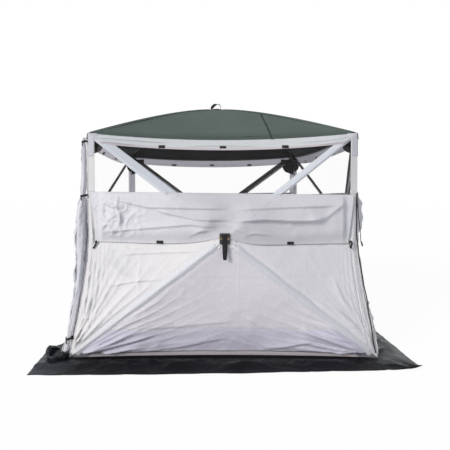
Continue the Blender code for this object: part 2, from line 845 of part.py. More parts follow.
def build_hubs():
    top = wall_pole_ends(TOP_CORNER)[1]
    base = wall_pole_ends(BASE_CORNER)[1]
    depth = pole_end_depth(WALL_APEX, top, WALL_NORMAL)
    place = hub_place(WALL_APEX, WALL_NORMAL, depth)
    inward = place.inverted()
    directions = []
    for end in (top, base):
        for sign in (1, -1):
            directions.append(inward @ Vector((sign * end.x, end.y, end.z)))
    lift = depth - PLATE_GAP - PLATE_THICK
    wall_hub = hub_mesh(directions, WALL_REACH, lift)
    wall_plate = plate_mesh(False)
    strap = strap_mesh()
    plate_place = hub_place(WALL_APEX, WALL_NORMAL, PLATE_THICK)
    hinge = WALL_APEX + Vector((0, -STRAP_STAND, STRAP_TOP))
    for face, degrees in FACES.items():
        turn = quarter(degrees)
        add_object(face + "_hub", wall_hub, "moulded_black", turn @ place)
        add_object(face + "_hub_plate", wall_plate, "moulded_black", turn @ plate_place)
        add_object(face + "_pull_strap", strap, "webbing", turn @ Matrix.Translation(hinge))

    end = roof_pole_ends()[1]
    roof_depth = pole_end_depth(ROOF_APEX, end, ROOF_NORMAL)
    diagonals = [Vector((x, y, 0)) for x in (1, -1) for y in (1, -1)]
    roof_hub = hub_mesh(diagonals, ROOF_REACH, roof_depth - PLATE_GAP - PLATE_THICK)
    hub_spot = Matrix.Translation(ROOF_APEX - ROOF_NORMAL * roof_depth)
    add_object("roof_hub", roof_hub, "moulded_black", hub_spot)
    plate_spot = Matrix.Translation(ROOF_APEX - ROOF_NORMAL * PLATE_THICK)
    add_object("roof_hub_plate", plate_mesh(True), "moulded_black", plate_spot)
    loop_place = Matrix.Translation(ROOF_APEX + ROOF_NORMAL * LOOP_STAND)
    add_object("roof_pull_loop", loop_mesh(), "webbing", loop_place)


# Skirt, door roll, ties and zip pulls

def ripple(x, y):
    """Low ripples that run outwards from the tent across the skirt."""
    out = (max(abs(x), abs(y)) - SKIRT_INNER) / (SKIRT_HALF - SKIRT_INNER)
    (ax, ay), (bx, by) = RIPPLE_WAVES
    wave = math.sin(x * ax + y * ay) * math.sin(x * bx + y * by)
    return SKIRT_RIPPLE * max(0.0, wave) * math.sin(math.pi * out)


def build_skirt():
    """A frame of black cloth flat on the ground, from under the hem outwards."""
    steps, rings = 9, 3
    grid = []
    for k in range(rings + 1):
        half = SKIRT_INNER + (SKIRT_HALF - SKIRT_INNER) * k / rings
        row = []
        for degrees in FACES.values():
            for j in range(steps):
                p = quarter(degrees) @ Vector((half * (2 * j / steps - 1), -half, 0))
                height = SKIRT_THICK + ripple(p.x, p.y)
                row.append((p.copy(), p + Vector((0, 0, height))))
        grid.append(row)
    add_object("ground_skirt", shell(grid, wrap=True), "cloth_black")


def roll_radius(z):
    """The door roll's radius: drawn in at its ties and fuller between them."""
    pinch = 0.0
    for tie in (*TIE_HEIGHTS.values(), MIDDLE_TIE):
        pinch = max(pinch, math.exp(-((z - tie) / PINCH_REACH) ** 2))
    fuller = ROLL_R + ROLL_FULLER * math.exp(-((z - ROLL_FULLEST_Z) / ROLL_FULL_REACH) ** 2)
    return fuller * (1 - ROLL_PINCH * pinch)


def roll_center(z):
    """The door roll's middle, just outside the left wall behind the front left corner."""
    half = corner_half(z)
    out = ROLL_OUT + ROLL_OUT_MORE * math.exp(-((z - ROLL_FULLEST_Z) / ROLL_FULL_REACH) ** 2)
    return Vector((-half - out, -half, z))


def build_door_roll():
    bm = bmesh.new()
    rings = []
    steps, sides = 36, 8
    for k in range(steps + 1):
        z = ROLL_BOTTOM + (ROLL_TOP - ROLL_BOTTOM) * k / steps
        center, radius = roll_center(z), roll_radius(z)
        ring = []
        for s in range(sides):
            a = 2 * math.pi * s / sides
            lobe = 1 + ROLL_LOBE * math.cos(3 * a + 4 * z)
            ring.append(bm.verts.new(center + Vector((math.cos(a), math.sin(a), 0)) * radius * lobe))
        rings.append(ring)
    bridge_rings(bm, rings)
    add_object("door_roll", mesh_of(bm), "cloth_grey")
    for name, z in TIE_HEIGHTS.items():
        center = roll_center(z)
        widest = max(roll_radius(z - TIE_WIDTH / 2), roll_radius(z + TIE_WIDTH / 2))
        radius = widest * (1 + ROLL_LOBE) + TIE_CLEAR
        rim = arc((0, 0), radius + TIE_THICK, 0, 337.5, 15)
        bore = arc((0, 0), radius, 0, 337.5, 15)
        outer = prism(rim, -TIE_WIDTH / 2, TIE_WIDTH / 2, axis="Z")
        inner = prism(bore, -TIE_WIDTH, TIE_WIDTH, axis="Z")
        ring = combine(outer, inner, "DIFFERENCE")
        add_object("door_tie_" + name, ring, "webbing", Matrix.Translation(center))


def zip_track(sign):
    """The lower and upper ends of a zip pull's path beside the window flap."""
    ends = []
    for z in (FLAP_BOTTOM - ZIP_BELOW_FLAP, PANEL_TOP - ZIP_BELOW_SILL):
        x = sign * ZIP_X
        ends.append(Vector((x, wall_depth(x, z), z)) + WALL_NORMAL * ZIP_STAND)
    return ends


def build_zip_pulls():
    body_shape = rounded_rectangle(ZIP_WIDTH, ZIP_BODY_HEIGHT, ZIP_CORNER)
    body = prism(body_shape, 0, ZIP_THICK, axis="Z")
    tab_shape = rounded_rectangle(ZIP_TAB_WIDTH, ZIP_LENGTH, ZIP_CORNER)
    hanging = [(x, y - ZIP_LENGTH / 2) for x, y in tab_shape]
    tab = prism(hanging, ZIP_THICK * 0.3, ZIP_THICK * 0.8, axis="Z")
    pull = combine(body, tab, "UNION")
    for side, sign in (("right", 1), ("left", -1)):
        low, high = zip_track(sign)
        x = Vector((1, 0, 0))
        place = frame_matrix(low, x, (high - low).normalized())
        add_object("zip_pull_" + side, pull, "zip_metal", place)


def main():
    clear_scene()
    build_front_wall()
    build_other_walls()
    build_screens()
    build_roof()
    build_poles()
    build_corner_joints()
    build_hubs()
    build_skirt()
    build_door_roll()
    build_zip_pulls()


main()
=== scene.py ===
"""Hub screen tent: its cloth, trim and ground skirt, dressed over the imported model.

Metres, +Z up. The origin is on the ground at the middle of the tent and the front wall
faces -Y. Every wall is made as the front wall and then turned about Z to its own side.
"""
import json
import math
from contextlib import contextmanager

import bmesh
import bpy
import numpy as np
from mathutils import Matrix, Vector


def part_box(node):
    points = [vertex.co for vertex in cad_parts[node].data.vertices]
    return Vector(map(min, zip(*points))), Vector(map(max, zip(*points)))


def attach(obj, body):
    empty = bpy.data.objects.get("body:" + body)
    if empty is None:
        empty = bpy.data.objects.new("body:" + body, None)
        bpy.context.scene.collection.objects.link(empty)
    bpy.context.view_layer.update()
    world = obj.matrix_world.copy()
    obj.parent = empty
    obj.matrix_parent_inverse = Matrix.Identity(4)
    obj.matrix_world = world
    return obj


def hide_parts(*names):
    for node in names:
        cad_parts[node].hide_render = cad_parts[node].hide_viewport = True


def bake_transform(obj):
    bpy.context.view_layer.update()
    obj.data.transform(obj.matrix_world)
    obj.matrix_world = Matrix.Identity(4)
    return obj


# The tent's shape, as in the CAD source
BASE_HALF = 1.200
WAIST_HALF = 1.080
EAVE_HALF = 1.085
WAIST_Z = 0.950
FLARE_POWER = 1.6
EAVE_Z = 1.770
EAVE_SAG = 0.050
EAVE_PULL = 0.050
HEM_Z = 0.006
HEM_LIFT = 0.004
HEM_PULL = 0.045
WALL_BULGE = 0.235
ROOF_RISE = 0.402
ROOF_POWER = 1.35
POLE_INSET = 0.016
PIVOT_BACK = 0.065
HUB_REACH = 0.060
SILL_Z = 1.284
SILL_TILT = -0.013
SKIRT_HALF = 1.450
SKIRT_INNER = 1.130

FACES = {"front": 0.0, "right": 90.0, "back": 180.0, "left": 270.0}
CORNERS = {"front_right": 0.0, "back_right": 90.0, "back_left": 180.0, "front_left": 270.0}
SECTORS = ("top", "right", "bottom", "left")
SIDES = (("right", 1.0), ("left", -1.0))

CLOTH_THICK = 0.0008
TAPE_THICK = 0.0012

BAND_HEIGHT = 0.088

# Shares of the way from a wall's edge to its hub that the edge strips take up, and how
# far these stand off the wall
EDGE_SHARE = {"top": 0.117, "right": 0.053, "bottom": 0.040, "left": 0.053}
EDGE_LIFT = {"top": 0.0030, "right": 0.0022, "bottom": 0.0030, "left": 0.0022}
ROOF_HEM_SHARE = 0.05
ROOF_HOLE_R = 0.050
HUB_HOLE_R = 0.078
HUB_PATCH_R = 0.094

# Where the bend of cloth held by a hub would start and end, as shares of the way from edge to hub
MAIN_START = -0.125
MAIN_END = 1.125

# Flat sizes of the cloths, width and length
PANEL_FLAT = {"top": (0.90, 0.38), "right": (1.30, 1.10),
              "bottom": (2.36, 0.95), "left": (1.30, 1.10)}
SCREEN_FLAT = {"top": (2.10, 0.42), "right": (0.60, 0.50), "left": (0.60, 0.50)}
STRIP_FLAT = {"top": (2.17, BAND_HEIGHT), "right": (0.060, 1.77),
              "bottom": (2.40, 0.040), "left": (0.060, 1.77)}
SLEEVE_FLAT = {"top": (0.110, 0.70), "right": (0.074, 1.60),
               "bottom": (0.074, 2.70), "left": (0.074, 1.60)}
FOOT_FLAT = (0.062, 1.30)
COVER_FLAT = (0.95, 0.50)
HUB_CLOTH_FLAT = (0.19, 0.19)
ROOF_FLAT = {"quarter": (2.17, 1.13), "hem": (2.17, 0.075), "ridge": (0.062, 1.50), "seam": (0.017, 0.80)}
LOOP_LENGTH = 0.165
SKIRT_FLAT = {"cloth": (2.90, 2.90), "lip": (2.42, 0.045), "curl": (0.46, 0.13)}
DOOR_FLAT = (1.78, 1.10)
TIE_FLAT = (0.022, 0.36)
SLACK_FLAT = (0.030, 0.50)


def quarter(face):
    """The turn that takes a part made at the front to its own wall or corner."""
    degrees = {**FACES, **CORNERS}[face]
    return Matrix.Rotation(math.radians(degrees), 4, "Z")


def finer(face, front, other):
    """A mesh's count of cells: more on the front wall, which is seen from nearest."""
    return front if face == "front" else other


def seed_of(face, first, step=40):
    """A number that starts a face's own random folds."""
    return first + step * list(FACES).index(face)


# Curves and surfaces of the cloth, for arrays of numbers

def middle(a):
    """1 at the middle of an edge and 0 at its corners, for a from -1 to 1."""
    return 1.0 - a * a


def corner_half(z):
    """Half the tent's width at height z along a corner edge, which flares at the foot."""
    z = np.asarray(z, float)
    low = np.clip(1.0 - z / WAIST_Z, 0.0, None)
    foot = WAIST_HALF + (BASE_HALF - WAIST_HALF) * low ** FLARE_POWER
    head = WAIST_HALF + (EAVE_HALF - WAIST_HALF) * (z - WAIST_Z) / (EAVE_Z - WAIST_Z)
    return np.where(z < WAIST_Z, foot, head)


def stacked(x, y, z):
    """Points from their x, y and z."""
    return np.stack(np.broadcast_arrays(x, y, z), axis=-1).astype(float)


def eave_line(x):
    """Height and y of the eave at x."""
    sag = middle(np.clip(np.asarray(x) / EAVE_HALF, -1, 1))
    return EAVE_Z - EAVE_SAG * sag, -(EAVE_HALF - EAVE_PULL * sag)


def eave_edge(a):
    """Points of the eave, for a from -1 at its left end to 1."""
    height, y = eave_line(EAVE_HALF * a)
    return stacked(EAVE_HALF * a, y, height)


def hem_edge(a):
    y = -(BASE_HALF - HEM_PULL * middle(a))
    return stacked(BASE_HALF * a, y, HEM_Z + HEM_LIFT * middle(a))


def border(sector, t):
    """The wall's edge in one sector, t from 0 to 1, clockwise as seen from outside."""
    t = np.asarray(t, float)
    if sector == "top":
        return eave_edge(2 * t - 1)
    if sector == "bottom":
        return hem_edge(1 - 2 * t)
    sign = 1.0 if sector == "right" else -1.0
    share = t if sector == "right" else 1 - t
    z = EAVE_Z + (HEM_Z - EAVE_Z) * share
    half = corner_half(z)
    return stacked(sign * half, -half, z)


TOP_CORNER = Vector((EAVE_HALF, -EAVE_HALF, EAVE_Z))
BASE_CORNER = Vector((BASE_HALF, -BASE_HALF, HEM_Z))
OUT = Vector((0, -(EAVE_Z - HEM_Z), BASE_HALF - EAVE_HALF)).normalized()
CROSSING = BASE_HALF / (BASE_HALF + EAVE_HALF)
BASE_MIDDLE = Vector((0, -BASE_HALF, HEM_Z))
TOP_MIDDLE = Vector((0, -EAVE_HALF, EAVE_Z))
HUB = BASE_MIDDLE.lerp(TOP_MIDDLE, CROSSING) + OUT * WALL_BULGE
HUB_AT = np.array(HUB)
OUT_WAY = np.array(OUT)
ROOF_HUB = Vector((0, 0, EAVE_Z + ROOF_RISE))
SLOPE_STEPS = 44


def wall_depth(x, z):
    """The y of the wall's plain cloth at points seen from the front."""
    x, z = np.broadcast_arrays(np.asarray(x, float), np.asarray(z, float))
    dx, dz = x, z - HUB.z
    low, high = np.full(x.shape, 1.0), np.full(x.shape, 60.0)
    for _ in range(SLOPE_STEPS):
        mid = (low + high) / 2
        ex, ez = mid * dx, HUB.z + mid * dz
        inside = (np.abs(ex) < corner_half(ez)) & (ez > HEM_Z) & (ez < eave_line(ex)[0])
        low, high = np.where(inside, mid, low), np.where(inside, high, mid)
    ex, ez = low * dx, HUB.z + low * dz
    half = corner_half(ez)
    hem = -(BASE_HALF - HEM_PULL * middle(np.clip(ex / BASE_HALF, -1, 1)))
    edge = np.where(np.abs(ex) > half - 0.002, -half, np.where(dz > 0, eave_line(ex)[1], hem))
    return HUB.y + (edge - HUB.y) / low


def lifted(points, lift):
    """Points moved out from the wall by a lift of their own."""
    return points + np.asarray(lift)[..., None] * OUT_WAY


def on_wall(x, z, lift=0.0):
    """Points that stand a given distance out from the wall's plain cloth."""
    return lifted(stacked(x, wall_depth(x, z), z), lift)


def sector_grid(sector, inner_r, outer, columns, rows):
    """Points of one sector, from a ring round the hub out to a share of the way to the edge."""
    spokes = border(sector, np.linspace(0, 1, columns + 1)) - HUB_AT
    first = inner_r / np.linalg.norm(spokes, axis=-1)
    part = first[None] + (outer - first[None]) * np.linspace(0, 1, rows + 1)[:, None]
    return HUB_AT + part[..., None] * spokes[None]


def roof_grid(inner_r, outer_share, columns, rows, first_share=None):
    """Points of one quarter of the roof, made on the front side."""
    a = np.linspace(-1, 1, columns + 1)
    edge = eave_edge(a)
    reach = np.linalg.norm(edge[:, :2], axis=-1)
    first = inner_r / reach if first_share is None else np.full(reach.shape, first_share)
    part = first[None] + (outer_share - first[None]) * np.linspace(0, 1, rows + 1)[:, None]
    xy = edge[None, :, :2] * part[..., None]
    z = EAVE_Z - EAVE_SAG * middle(a)[None] * part * part + ROOF_RISE * (1 - part ** ROOF_POWER)
    return np.concatenate([xy, z[..., None]], axis=-1)


def smooth_step(value):
    """0 up to 0 and 1 from 1, with a soft change between them."""
    t = np.clip(value, 0, 1)
    return t * t * (3 - 2 * t)


def ramp(distance, width):
    """0 before a place, and rising softly to 1 over a width past it."""
    return smooth_step(distance / width)


def bell(distance, width):
    """1 at a place and falling to 0 round it."""
    return np.exp(-(distance / width) ** 2)


def sill(x):
    """Height of the line that the window covers fold down over."""
    return SILL_Z + SILL_TILT * x


NOISE_CELLS = 61


def soft_noise(x, z, size, seed):
    """Soft random hills between 0 and 1, about one size apart, the same on every run."""
    table = np.random.default_rng(seed).random((NOISE_CELLS, NOISE_CELLS))
    u, v = x / size + 30.3, z / size + 30.7
    i, j = np.floor(u).astype(int), np.floor(v).astype(int)
    fu, fv = smooth_step(u - i), smooth_step(v - j)

    def at(p, q):
        return table[p % NOISE_CELLS, q % NOISE_CELLS]

    low = at(i, j) * (1 - fu) + at(i + 1, j) * fu
    high = at(i, j + 1) * (1 - fu) + at(i + 1, j + 1) * fu
    return low * (1 - fv) + high * fv


def ridges(x, z, size, seed):
    """Thin random ridges between 0 and 1, like the creases of crumpled cloth."""
    warp = 0.35 * size
    wx = x + warp * (soft_noise(x, z, size * 0.8, seed + 1) - 0.5) * 2
    wz = z + warp * (soft_noise(x, z, size * 0.8, seed + 2) - 0.5) * 2
    return 1 - np.abs(2 * soft_noise(wx, wz, size, seed) - 1)


FOLD_DEPTH = 1.5


def fold_along(x, z, line, height, soft, sharp, fade=0.16):
    """A fold along a line: it swells softly above the line and tucks in sharply below."""
    points = np.array(line, float)
    best = np.full(np.shape(x), 1e9)
    side = np.zeros(np.shape(x))
    along = np.zeros(np.shape(x))
    start = 0.0
    for (ax, az), (bx, bz) in zip(points, points[1:]):
        dx, dz = bx - ax, bz - az
        length = math.hypot(dx, dz)
        t = np.clip(((x - ax) * dx + (z - az) * dz) / length ** 2, 0, 1)
        gap = np.hypot(x - ax - t * dx, z - az - t * dz)
        nearer = gap < best
        best = np.where(nearer, gap, best)
        side = np.where(nearer, dx * (z - az) - dz * (x - ax), side)
        along = np.where(nearer, start + t * length, along)
        start += length
    ends = ramp(along, fade) * ramp(start - along, fade)
    swell = np.where(side > 0, np.exp(-best / soft), bell(best, sharp))
    return FOLD_DEPTH * height * ends * swell


def folds_of(table, x, z):
    """All the folds of a table: each row has a line, a height, a soft and a sharp side."""
    return sum(fold_along(x, z, *row) for row in table)


# Meshes and pieces

def mesh_of(name, points, faces):
    mesh = bpy.data.meshes.new(name)
    mesh.from_pydata(np.reshape(points, (-1, 3)).tolist(), [], faces)
    mesh.shade_smooth()
    return mesh


def quads_of(rows, columns, around=False, along=False):
    """Four-sided faces over a grid of points, which may close on itself either way."""
    index = np.arange(rows * columns).reshape(rows, columns)
    if along:
        index = np.vstack([index, index[:1]])
    if around:
        index = np.hstack([index, index[:, :1]])
    corners = (index[:-1, :-1], index[:-1, 1:], index[1:, 1:], index[1:, :-1])
    return np.stack(corners, axis=-1).reshape(-1, 4)


def grid_mesh(name, grid, flip=False):
    """A sheet from rows of points; the rows run outwards and the columns clockwise."""
    quads = quads_of(*grid.shape[:2])
    return mesh_of(name, grid, (quads[:, ::-1] if flip else quads).tolist())


@contextmanager
def opened(mesh):
    """A mesh opened for changes, which are written back to it."""
    bm = bmesh.new()
    bm.from_mesh(mesh)
    yield bm
    bm.to_mesh(mesh)
    bm.free()


def slice_plane(bm, point, normal, clear=False):
    geometry = list(bm.verts) + list(bm.edges) + list(bm.faces)
    bmesh.ops.bisect_plane(bm, geom=geometry, plane_co=point, plane_no=normal, clear_outer=clear, dist=1e-6)


def cut_away(mesh, *planes):
    """Remove what lies on the normal's side of each plane, given by a point and a normal."""
    for point, normal in planes:
        with opened(mesh) as bm:
            slice_plane(bm, point, normal, True)
        mesh.shade_smooth()
    return mesh


def sill_plane(way, low=0.0):
    """The plane of the windows' sill, to cut away what is above it (1) or below it (-1)."""
    return (0, 0, SILL_Z - low), (-SILL_TILT * way, 0, way)


def weld(mesh, gap=1e-5):
    with opened(mesh) as bm:
        bmesh.ops.remove_doubles(bm, verts=bm.verts, dist=gap)
    mesh.shade_smooth()
    return mesh


def facing_out(mesh):
    with opened(mesh) as bm:
        bmesh.ops.recalc_face_normals(bm, faces=bm.faces)
    return mesh


def reshape_mesh(mesh, shape):
    """Move a mesh's points to what shape(points) gives."""
    points = np.zeros(len(mesh.vertices) * 3)
    mesh.vertices.foreach_get("co", points)
    mesh.vertices.foreach_set("co", shape(points.reshape(-1, 3)).ravel())
    mesh.update()


def push(mesh, lift):
    """Move every point of a mesh out from the wall by what lift(x, z) gives."""
    reshape_mesh(mesh, lambda points: lifted(points, lift(points[:, 0], points[:, 2])))


def placed(name, data):
    """A new object in the scene."""
    obj = bpy.data.objects.new(name, data)
    bpy.context.scene.collection.objects.link(obj)
    return obj


def joined(name, meshes):
    """One mesh from several."""
    whole = bmesh.new()
    for mesh in meshes:
        whole.from_mesh(mesh)
    result = bpy.data.meshes.new(name)
    whole.to_mesh(result)
    whole.free()
    result.shade_smooth()
    return result


def piece(name, mesh, face=None, thick=None, inside=None, bevel=None):
    """A finished object at the origin, its place in its mesh."""
    if face:
        mesh.transform(quarter(face))
    mesh.name = name
    obj = placed(name, mesh)
    if thick:
        shell = obj.modifiers.new("thickness", "SOLIDIFY")
        shell.thickness = thick
        shell.offset = -1.0
        if inside:
            mesh.materials.append(PAINT[inside])
            shell.material_offset = len(mesh.materials) - 1
    if bevel:
        edge = obj.modifiers.new("soft edge", "BEVEL")
        edge.width, edge.segments, edge.limit_method = bevel, 2, "ANGLE"
    return obj


def follow_hub(obj, face, sector, share=None):
    """Bake the object's place into its mesh; where its cloth would bend from the edge to the hub is worked
    out but not used.
    """
    on_roof = sector == "roof"
    hub = ROOF_HUB if on_roof else HUB
    a, b = (Vector(p) for p in border("top" if on_roof else sector, np.array([0.0, 1.0])))
    along = (b - a).normalized()
    foot = a + along * (hub - a).dot(along)
    low, high = MAIN_START, MAIN_END
    if share is not None:
        # an edge strip's bend meets the main cloth's bend
        low, high = 0.0, share * (MAIN_END - MAIN_START) / (share - MAIN_START)
    start, end = (quarter(face) @ (foot + (hub - foot) * part) for part in (low, high))
    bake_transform(obj)


def sewn_area(mesh):
    """The area of a mesh before folds and thickness: the cloth as it is cut."""
    return sum(part.area for part in mesh.polygons)


def declare_sheet(obj, area, flat, held, rests_on):
    """Work out how large a piece of cloth was cut, within bounds from its flat size; the result is not kept.
    """
    width, length = flat
    area = min(max(area, 0.305 * width * length), width * length)


def sew(name, mesh, cloths, face=None, body=None, sector=None, share=None, lift=None,
        slot="cloth_grey", thick=CLOTH_THICK, inside=None, bevel=None,
        replaces=None, sheet=None, area=None):
    """Finish a mesh: fold and paint it, and hang it from its body where it has one."""
    if sheet and area is None:
        area = sewn_area(mesh)
    if lift:
        push(mesh, lift)
    for cloth in cloths.split():
        mesh.materials.append(PAINT[cloth])
    obj = piece(name, mesh, face, thick, inside, bevel)
    if body:
        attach(obj, body)
    else:
        follow_hub(obj, face, sector, share)
    if replaces:
        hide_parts(replaces)
    if sheet:
        declare_sheet(obj, area, *sheet)


def node_of(face, front_node):
    """The CAD node that a part of a wall's cloth stands for."""
    return front_node if face == "front" else face + "_wall_cloth"


def sew_wall(face, what, sector, mesh, cloths, node, flat, **rest):
    """Finish one sector's part of a wall's cloth."""
    sew(f"{face}_{what}_{sector}", mesh, cloths, face, sector=sector, replaces=node_of(face, node),
        sheet=(flat, "stretched", poles_of(face)), **rest)


def sectors_of(face, sectors=SECTORS):
    """The sectors that a wall has cloth in: the left wall's front quarter is the doorway."""
    return [sector for sector in sectors if (face, sector) != ("left", "right")]


def poles_of(face):
    return [f"{face}_pole_{level}_{side}" for level in ("upper", "lower") for side, _ in SIDES]


# Materials

def wire(tree, node, inputs):
    """Set a node's inputs, each to a value or to another node's output."""
    for key, value in inputs.items():
        if isinstance(value, bpy.types.NodeSocket):
            tree.links.new(value, node.inputs[key])
        else:
            node.inputs[key].default_value = value
    return node


def add_node(tree, kind, inputs=None, **fields):
    made = tree.nodes.new("ShaderNode" + kind)
    for key, value in fields.items():
        setattr(made, key, value)
    return wire(tree, made, inputs or {})


def math_node(tree, first, second, operation="MULTIPLY"):
    return add_node(tree, "Math", {0: first, 1: second}, operation=operation).outputs[0]


def new_material(name):
    """A material, its tree, its shader and the object's own coordinates."""
    made = bpy.data.materials.new(name)
    made.use_nodes = True
    tree = made.node_tree
    return made, tree, tree.nodes["Principled BSDF"], add_node(tree, "TexCoord").outputs["Object"]


def noise_node(tree, place, scale, detail=3.0, rough=0.5, kind="FBM"):
    inputs = {"Vector": place, "Scale": scale, "Detail": detail, "Roughness": rough}
    return add_node(tree, "TexNoise", inputs, noise_type=kind).outputs["Fac"]


def spread(tree, value, low, high, to_low=0.0, to_high=1.0):
    inputs = {"Value": value, "From Min": low, "From Max": high, "To Min": to_low, "To Max": to_high}
    return add_node(tree, "MapRange", inputs).outputs["Result"]


def color_mix(tree, share, first, second, blend="MIX"):
    made = add_node(tree, "Mix", data_type="RGBA", blend_type=blend)
    colors = [(*c, 1.0) if isinstance(c, tuple) else c for c in (first, second)]
    return wire(tree, made, {0: share, 6: colors[0], 7: colors[1]}).outputs[2]


def mottled(tree, at, scale, low, high, color, shade, detail=3.0, rough=0.5):
    """A colour that drifts to its shade in patches."""
    return color_mix(tree, spread(tree, noise_node(tree, at, scale, detail, rough), low, high), color, shade)


def bump(tree, height, distance, strength=1.0, normal=None):
    inputs = {"Height": height, "Distance": distance, "Strength": strength}
    if normal is not None:
        inputs["Normal"] = normal
    return add_node(tree, "Bump", inputs).outputs["Normal"]


def woven(name, color, shade, roughness=0.66, crinkle=0.0006, lower=None, sheen=0.08, gloss=0.25,
          glow=0.0, center=1.0):
    """Coated woven cloth: slow colour drift, a fine weave, and the crinkles of packing; where asked, a tint
    below a height, and painted shade that darkens it towards the middle.
    """
    made, tree, shader, at = new_material(name)
    base = mottled(tree, at, 1.4, 0.35, 0.65, color, shade)
    fleck = spread(tree, noise_node(tree, at, 70.0, 2.0), 0.3, 0.7, 0.965, 1.03)
    tone = add_node(tree, "CombineColor", {"Red": fleck, "Green": fleck, "Blue": fleck})
    base = color_mix(tree, 1.0, base, tone.outputs["Color"], "MULTIPLY")
    split = add_node(tree, "SeparateXYZ", {"Vector": at}).outputs
    if lower:
        height, tint, soft = lower
        under = spread(tree, split["Z"], height - soft, height + 0.004, 1.0, 0.0)
        base = color_mix(tree, under, base, color_mix(tree, 1.0, base, tint, "MULTIPLY"))
    # Painted shade: darker towards the middle of each wall, by the share center.
    if center < 1.0:
        across, along = (math_node(tree, split[key], 0.0, "ABSOLUTE") for key in ("X", "Y"))
        shaded_middle = spread(tree, math_node(tree, across, along, "MINIMUM"), 0.15, 0.80, 1.0, 0.0)
        base = color_mix(tree, shaded_middle, base, color_mix(tree, 1.0, base, (center,) * 3, "MULTIPLY"))
    large = noise_node(tree, at, 5.0, 4.0, 0.5, "RIDGED_MULTIFRACTAL")
    cells = add_node(tree, "TexVoronoi", {"Vector": at, "Scale": 8.0, "Randomness": 1.0},
                     feature="DISTANCE_TO_EDGE").outputs["Distance"]
    line = spread(tree, cells, 0.0, 0.05, 1.0, 0.0)
    middle_size = noise_node(tree, at, 19.0, 3.0, 0.55, "RIDGED_MULTIFRACTAL")
    normal = bump(tree, large, crinkle * 2.5, 0.6)
    normal = bump(tree, middle_size, crinkle * 1.4, 0.6, normal)
    normal = bump(tree, line, crinkle * 0.5, 0.5, normal)
    weave = add_node(tree, "TexWave", {"Vector": at, "Scale": 90.0, "Distortion": 0.6, "Detail": 1.0},
                     wave_type="BANDS", bands_direction="Z").outputs["Fac"]
    rough = spread(tree, noise_node(tree, at, 9.0, 2.0), 0.3, 0.7, roughness - 0.06, roughness + 0.06)
    wire(tree, shader, {
        "Base Color": base, "Normal": bump(tree, weave, 0.00012, 1.0, normal), "Roughness": rough,
        "Sheen Weight": sheen, "Sheen Roughness": 0.5, "Specular IOR Level": gloss,
    })
    if glow:
        wire(tree, shader, {"Subsurface Weight": glow, "Subsurface Radius": (0.0060, 0.0057, 0.0062),
                            "Subsurface Scale": 1.0})
    return made


def skirt_cloth(name, color, shade):
    """Black coated skirt cloth: crumpled and shiny, with paler patches on its right and left sides that are
    painted reflection.
    """
    made, tree, shader, at = new_material(name)
    base = mottled(tree, at, 2.0, 0.35, 0.65, color, shade)
    split = add_node(tree, "SeparateXYZ", {"Vector": at}).outputs
    # Painted reflection: the skirt is paler in patches on its right side, where the shiny cloth catches the
    # light.
    side = spread(tree, split["X"], 1.10, 1.30)
    behind = spread(tree, split["Y"], -1.36, -1.16)
    patch = spread(tree, noise_node(tree, at, 7.0, 5.0, 0.6), 0.35, 0.60, 0.35, 1.0)
    painted_reflection_right = math_node(tree, math_node(tree, side, behind), patch)
    # Painted reflection: paler patches on its left side too.
    painted_reflection_left = math_node(tree, spread(tree, split["X"], -1.08, -1.30), patch)
    base = color_mix(tree, painted_reflection_left, base, (0.030, 0.036, 0.045))
    large = noise_node(tree, at, 4.5, 5.0, 0.55, "RIDGED_MULTIFRACTAL")
    small = noise_node(tree, at, 17.0, 3.0, 0.6, "RIDGED_MULTIFRACTAL")
    wire(tree, shader, {
        "Base Color": color_mix(tree, painted_reflection_right, base, (0.120, 0.135, 0.136)),
        "Normal": bump(tree, small, 0.004, 0.8, bump(tree, large, 0.012, 0.8)),
        "Roughness": spread(tree, noise_node(tree, at, 9.0, 2.0), 0.3, 0.7, 0.26, 0.50),
        "Specular IOR Level": 0.11,
    })
    return made


def netting(name, color, alpha):
    """Fine insect netting: nearly clear, and a little denser where it hangs slack."""
    made, tree, shader, at = new_material(name)
    shade = tuple(c * 0.92 for c in color)
    wire(tree, shader, {
        "Alpha": spread(tree, noise_node(tree, at, 2.2, 3.0), 0.3, 0.7, alpha * 0.8, alpha * 1.2),
        "Base Color": mottled(tree, at, 40.0, 0.3, 0.7, color, shade, 2.0),
        "Roughness": 0.8, "Specular IOR Level": 0.1,
    })
    return made


def webbing(name, color, shade):
    """Flat nylon webbing: a diagonal rib and paler threads from wear."""
    made, tree, shader, at = new_material(name)
    rib = add_node(tree, "TexWave", {"Vector": at, "Scale": 130.0, "Distortion": 0.3},
                   wave_type="BANDS", bands_direction="DIAGONAL").outputs["Fac"]
    wire(tree, shader, {
        "Base Color": mottled(tree, at, 25.0, 0.45, 0.75, color, shade, 4.0),
        "Normal": bump(tree, rib, 0.0005, 0.9),
        "Roughness": 0.75, "Sheen Weight": 0.03, "Specular IOR Level": 0.25,
    })
    return made


def moulded(name, color, shade, roughness=0.42):
    """Moulded plastic: a fine spark grain, and soft scuffs that catch the light."""
    made, tree, shader, at = new_material(name)
    rough = spread(tree, noise_node(tree, at, 30.0, 3.0), 0.3, 0.7, roughness - 0.08, roughness + 0.12)
    wire(tree, shader, {
        "Base Color": mottled(tree, at, 18.0, 0.5, 0.8, color, shade, 5.0, 0.6),
        "Normal": bump(tree, noise_node(tree, at, 420.0, 2.0), 0.0003, 0.5), "Roughness": rough,
    })
    return made


def rod(name, color, shade):
    """Pulled fibreglass rod: fine streaks along it under a satin coat."""
    made, tree, shader, at = new_material(name)
    streak = add_node(tree, "Mapping", {"Vector": at, "Scale": (60.0, 60.0, 60.0)})
    fibre = noise_node(tree, streak.outputs["Vector"], 6.0, 6.0, 0.7)
    wire(tree, shader, {
        "Base Color": color_mix(tree, spread(tree, fibre, 0.4, 0.7), color, shade),
        "Normal": bump(tree, fibre, 0.0002, 0.4), "Roughness": 0.35, "Coat Weight": 0.2,
    })
    return made


